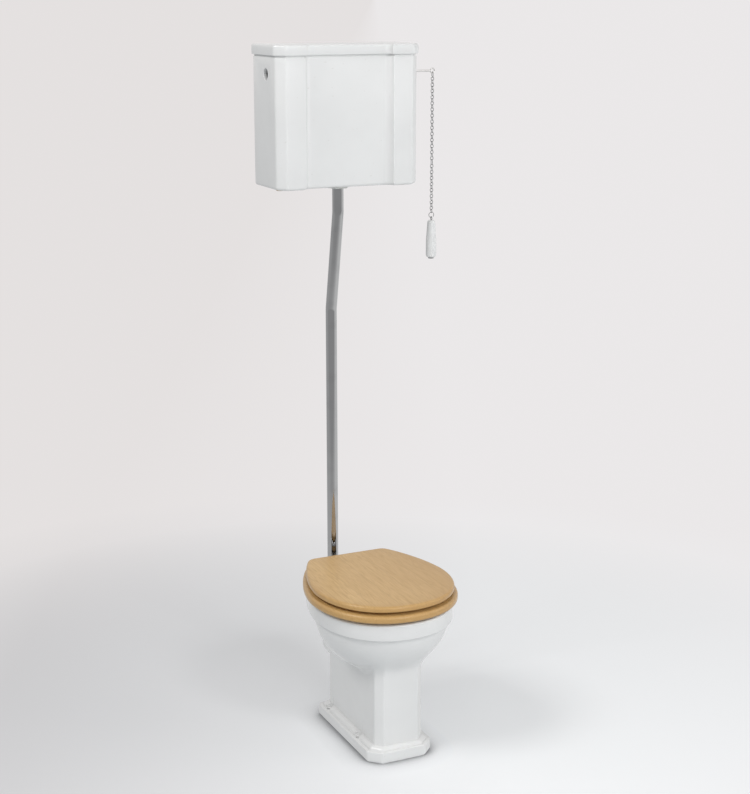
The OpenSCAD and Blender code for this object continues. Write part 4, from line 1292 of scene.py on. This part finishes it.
@dataclass
class PullChain:
    """Lever through the tank's side, chain of wire links, and china pull handle."""

    chain_x: float = 273.5
    length: float = 104.0
    neck_r: float = 10.8
    full_r: float = 14.0
    swell_end: float = 0.65
    shoulder: float = 0.08
    toe: float = 0.07
    ferrule_r: float = 8.0
    ferrule_h: float = 3.5

    def _handle_side(self) -> Profile:
        """Shapes the handle's side from its shoulder down to its foot.

        Returns:
            Its outline as radius and height.
        """
        side = []
        for i in range(61):
            t = 0.5 - 0.5 * math.cos(math.pi * i / 60)
            swell = (1 - math.cos(math.pi * min(1, t / self.swell_end))) / 2
            r = self.neck_r + (self.full_r - self.neck_r) * swell
            top, foot = min(1, t / self.shoulder), min(1, (1 - t) / self.toe)
            r *= 0.45 + 0.55 * math.sqrt(1 - (1 - top) ** 2)
            r *= 0.6 + 0.4 * math.sqrt(1 - (1 - foot) ** 2)
            side.append((r, -t * (self.length - self.ferrule_h)))
        return side

    def build(self) -> None:
        """Builds the handle and its ferrule, and dresses the rest."""
        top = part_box("pull_handle")[1].z / MM
        low, edge, deep = -self.length, self.ferrule_r, self.ferrule_h
        ring = [(5.4, 0.0), (edge - 0.8, 0.0), (edge, 0.8), (edge, deep + 0.3), (5.4, deep + 0.3)]
        ferrule = Form().lathe(ring, (self.chain_x, OUTLET_Y, top + low), steps=48)
        ferrule.finish("handle_ferrule", Slot.CHROME, body_of("pull_handle"), [], 40)
        bore = [(5.2, low + deep), (5.2, low + 6), (2.0, low + 6), (2.0, 0.0)]
        handle = Form().lathe(self._handle_side() + bore, (self.chain_x, OUTLET_Y, top))
        handle.finish("handle_glazed", Slot.CHINA, body_of("pull_handle"), ["pull_handle"], 40)
        dress_node("lever", Slot.CHROME, SATIN)
        wires = ["lever_pin", "chain_hanger", "upper_chain", "joining_link", "lower_chain"]
        dress_nodes({Slot.CHROME: wires + ["pull_ring", "handle_rod", "handle_nut"]})
        rounded_copy("lever_bush", Slot.CHROME, 0.4)


# ---- Studio ----


@dataclass(frozen=True)
class Lamp:
    """Soft square lamp.

    Fields are where it hangs, the point that it faces, its side in metres, its power
    in watts, its colour, and whether bright metal mirrors it.
    """

    name: str
    at: Point
    towards: Point
    size: float
    power: float
    colour: Colour = (1.0, 1.0, 1.0)
    mirrored: bool = True

    def hang(self) -> None:
        """Adds the lamp to the scene."""
        data = bpy.data.lights.new(self.name, "AREA")
        data.shape = "SQUARE"
        data.size = self.size
        data.energy = self.power
        data.color = self.colour
        lamp = bpy.data.objects.new(self.name, data)
        aim = (Vector(self.towards) - Vector(self.at)).to_track_quat("-Z", "Y")
        lamp.matrix_world = Matrix.Translation(self.at) @ aim.to_matrix().to_4x4()
        lamp.visible_glossy = self.mirrored
        bpy.context.scene.collection.objects.link(lamp)


@dataclass
class Studio:
    """Pale floor, soft lamps and the camera of the photograph.

    Each pair of floor colours holds those at the left and at the right of the toilet.
    Each span holds the places, in metres, between which one tone goes over to another:
    across the picture, outwards from the toilet, or away from the camera.
    """

    eye: Point = (-1.6820, -3.6453, 1.9334)
    yaw: float = 24.98
    pitch: float = 14.11
    lens: float = 72.85
    sky: Colour = (0.800, 0.785, 0.780)
    sky_light: float = 0.42
    near: tuple[Colour, Colour] = ((0.600, 0.600, 0.612), (0.850, 0.862, 0.874))
    far: tuple[Colour, Colour] = ((0.780, 0.752, 0.748), (0.828, 0.808, 0.812))
    side_span: tuple[float, float] = (-1.05, 0.35)
    far_span: tuple[float, float] = (0.5, 2.1)
    mirrored: tuple[Colour, Colour] = ((0.56, 0.56, 0.565), (0.88, 0.88, 0.88))
    mirrored_before: Colour = (0.44, 0.44, 0.445)
    mirrored_span: tuple[float, float] = (-2.5, 1.5)
    before_span: tuple[float, float] = (-0.6, -2.4)
    matt_gain: float = 1.22
    glow_span: tuple[float, float] = (0.65, 1.8)
    glow_least: float = 0.08
    bounce: Colour = (0.67, 0.70, 0.72)
    # Painted shadow round the toilet's foot: its colour, the reach in metres of the occlusion that
    # lays it, and the occlusion values over which it fades.
    painted_contact_shadow: Colour = (0.22, 0.22, 0.23)
    painted_shadow_reach: float = 0.07
    painted_shadow_band: tuple[float, float] = (0.42, 0.95)
    floor_r: float = 1600000.0
    lamps: tuple[Lamp, ...] = (
        Lamp("left", (-3.2, -0.4, 4.2), (0.0, 0.0, 0.5), 1.5, 62, (1.0, 0.99, 0.98)),
        Lamp("front", (-0.2, -4.8, 2.6), (0.0, 0.1, 0.9), 3.2, 93, mirrored=False),
        Lamp("spark", (0.9, -4.2, 3.6), (0.0, 0.0, 0.6), 0.9, 32),
        Lamp("right", (3.4, -2.0, 2.4), (0.0, 0.1, 0.9), 2.6, 18),
    )

    def _camera(self) -> None:
        """Makes the camera."""
        data = bpy.data.cameras.new("photo_camera")
        data.lens = self.lens
        data.sensor_width = 36.0
        data.clip_end = 4000
        camera = bpy.data.objects.new("photo_camera", data)
        camera.location = self.eye
        camera.rotation_euler = (math.radians(90 - self.pitch), 0, math.radians(-self.yaw))
        bpy.context.scene.collection.objects.link(camera)
        bpy.context.scene.camera = camera

    def _rays(self, sheet: Sheet) -> tuple[Wire, Wire, Wire]:
        """1 for rays from the camera, by way of bright metal, and through glass."""
        path = sheet.add("ShaderNodeLightPath", {}, {}, "Is Camera Ray")
        return path, path.beside("Is Glossy Ray"), path.beside("Is Transmission Ray")

    def _floor_finish(self) -> bpy.types.Material:
        """Makes the floor's finish.

        The camera sees a matt floor near the toilet, which keeps its shadow and has a
        painted shadow round the toilet's foot, and a plain tone far from it. Bright
        metal sees tones of its own, and other light meets one matt colour.

        Returns:
            The material.
        """
        sheet = Sheet("pale_floor")
        turned = sheet.where(turn=(0.0, 0.0, math.radians(self.yaw)))
        across = sheet.add("ShaderNodeSeparateXYZ", {}, {"Vector": turned}, 0)
        away = across.beside(1)
        reach = sheet.add("ShaderNodeVectorMath", {"operation": "LENGTH"}, {0: turned}, 1)
        side = across.band(*self.side_span)
        camera, glossy, through = self._rays(sheet)
        seen = (camera + through).band(0, 1)

        plain = sheet.blend(side, *self.near)
        far = sheet.blend(side, *self.far)
        plain = sheet.blend(reach.band(*self.far_span), plain, far)
        mirrored = sheet.blend(across.band(*self.mirrored_span), *self.mirrored)
        before = away.band(*self.before_span)
        mirrored = sheet.blend(before, mirrored, self.mirrored_before)
        tint = sheet.blend(glossy, plain, mirrored)
        glow = sheet.add("ShaderNodeEmission", {}, {"Color": tint, "Strength": 1.0})

        gained = [tuple(self.matt_gain * part for part in tone) for tone in self.near]
        # Painted shadow: the floor is darkened where occlusion finds the toilet close by.
        painted_shadow_mask = sheet.add(
            "ShaderNodeAmbientOcclusion", {"samples": 8}, {"Distance": self.painted_shadow_reach}, "AO"
        )
        painted_shadow_mask = painted_shadow_mask.band(*self.painted_shadow_band)
        shaded = sheet.blend(painted_shadow_mask, self.painted_contact_shadow, sheet.blend(side, *gained))
        met = sheet.blend(seen, self.bounce, shaded)
        matt = sheet.add("ShaderNodeBsdfDiffuse", {}, {"Color": met})

        share = reach.band(*self.glow_span) * (1 - self.glow_least) + self.glow_least
        share = seen * share + glossy
        mixed = sheet.add("ShaderNodeMixShader", {}, {0: share, 1: matt, 2: glow})
        sheet.add("ShaderNodeOutputMaterial", {}, {"Surface": mixed})
        return sheet.material

    def _floor(self) -> None:
        """Lays the pale floor."""
        form = Form()
        bmesh.ops.create_circle(form.bm, cap_ends=True, segments=96, radius=self.floor_r)
        form.scale(MM)
        floor = form.place_in_scene("studio_floor")
        floor.data.materials.append(self._floor_finish())

    def _world(self) -> None:
        """Lights the scene evenly and shows a pale sky to the camera and bright metal."""
        world = bpy.data.worlds.new("studio")
        world.use_nodes = True
        bpy.context.scene.world = world
        sheet = Sheet("studio_sky")
        bpy.data.materials.remove(sheet.material)
        sheet.tree = world.node_tree
        sheet.tree.nodes.clear()
        camera, glossy, through = self._rays(sheet)
        white = {"Color": (1.0, 1.0, 1.0), "Strength": self.sky_light}
        light = sheet.add("ShaderNodeBackground", {}, white)
        sky = sheet.add("ShaderNodeBackground", {}, {"Color": self.sky, "Strength": 1.0})
        seen = (camera + glossy + through).band(0, 1)
        mixed = sheet.add("ShaderNodeMixShader", {}, {0: seen, 1: light, 2: sky})
        sheet.add("ShaderNodeOutputWorld", {}, {"Surface": mixed})

    def build(self) -> None:
        """Builds the studio."""
        bpy.context.scene.view_settings.view_transform = "Standard"
        self._camera()
        self._floor()
        self._world()
        for lamp in self.lamps:
            lamp.hang()


def main() -> None:
    """Builds the studio and each sub-assembly in turn."""
    logging.basicConfig(level=logging.INFO, format="%(name)s: %(message)s")
    for part in (Studio(), Pan(), Tank(), Seat(), FlushPipe(), Hinge(), FlushGear(), PullChain()):
        log.info("%s", type(part).__name__)
        part.build()


if __name__ == "__main__":
    main()
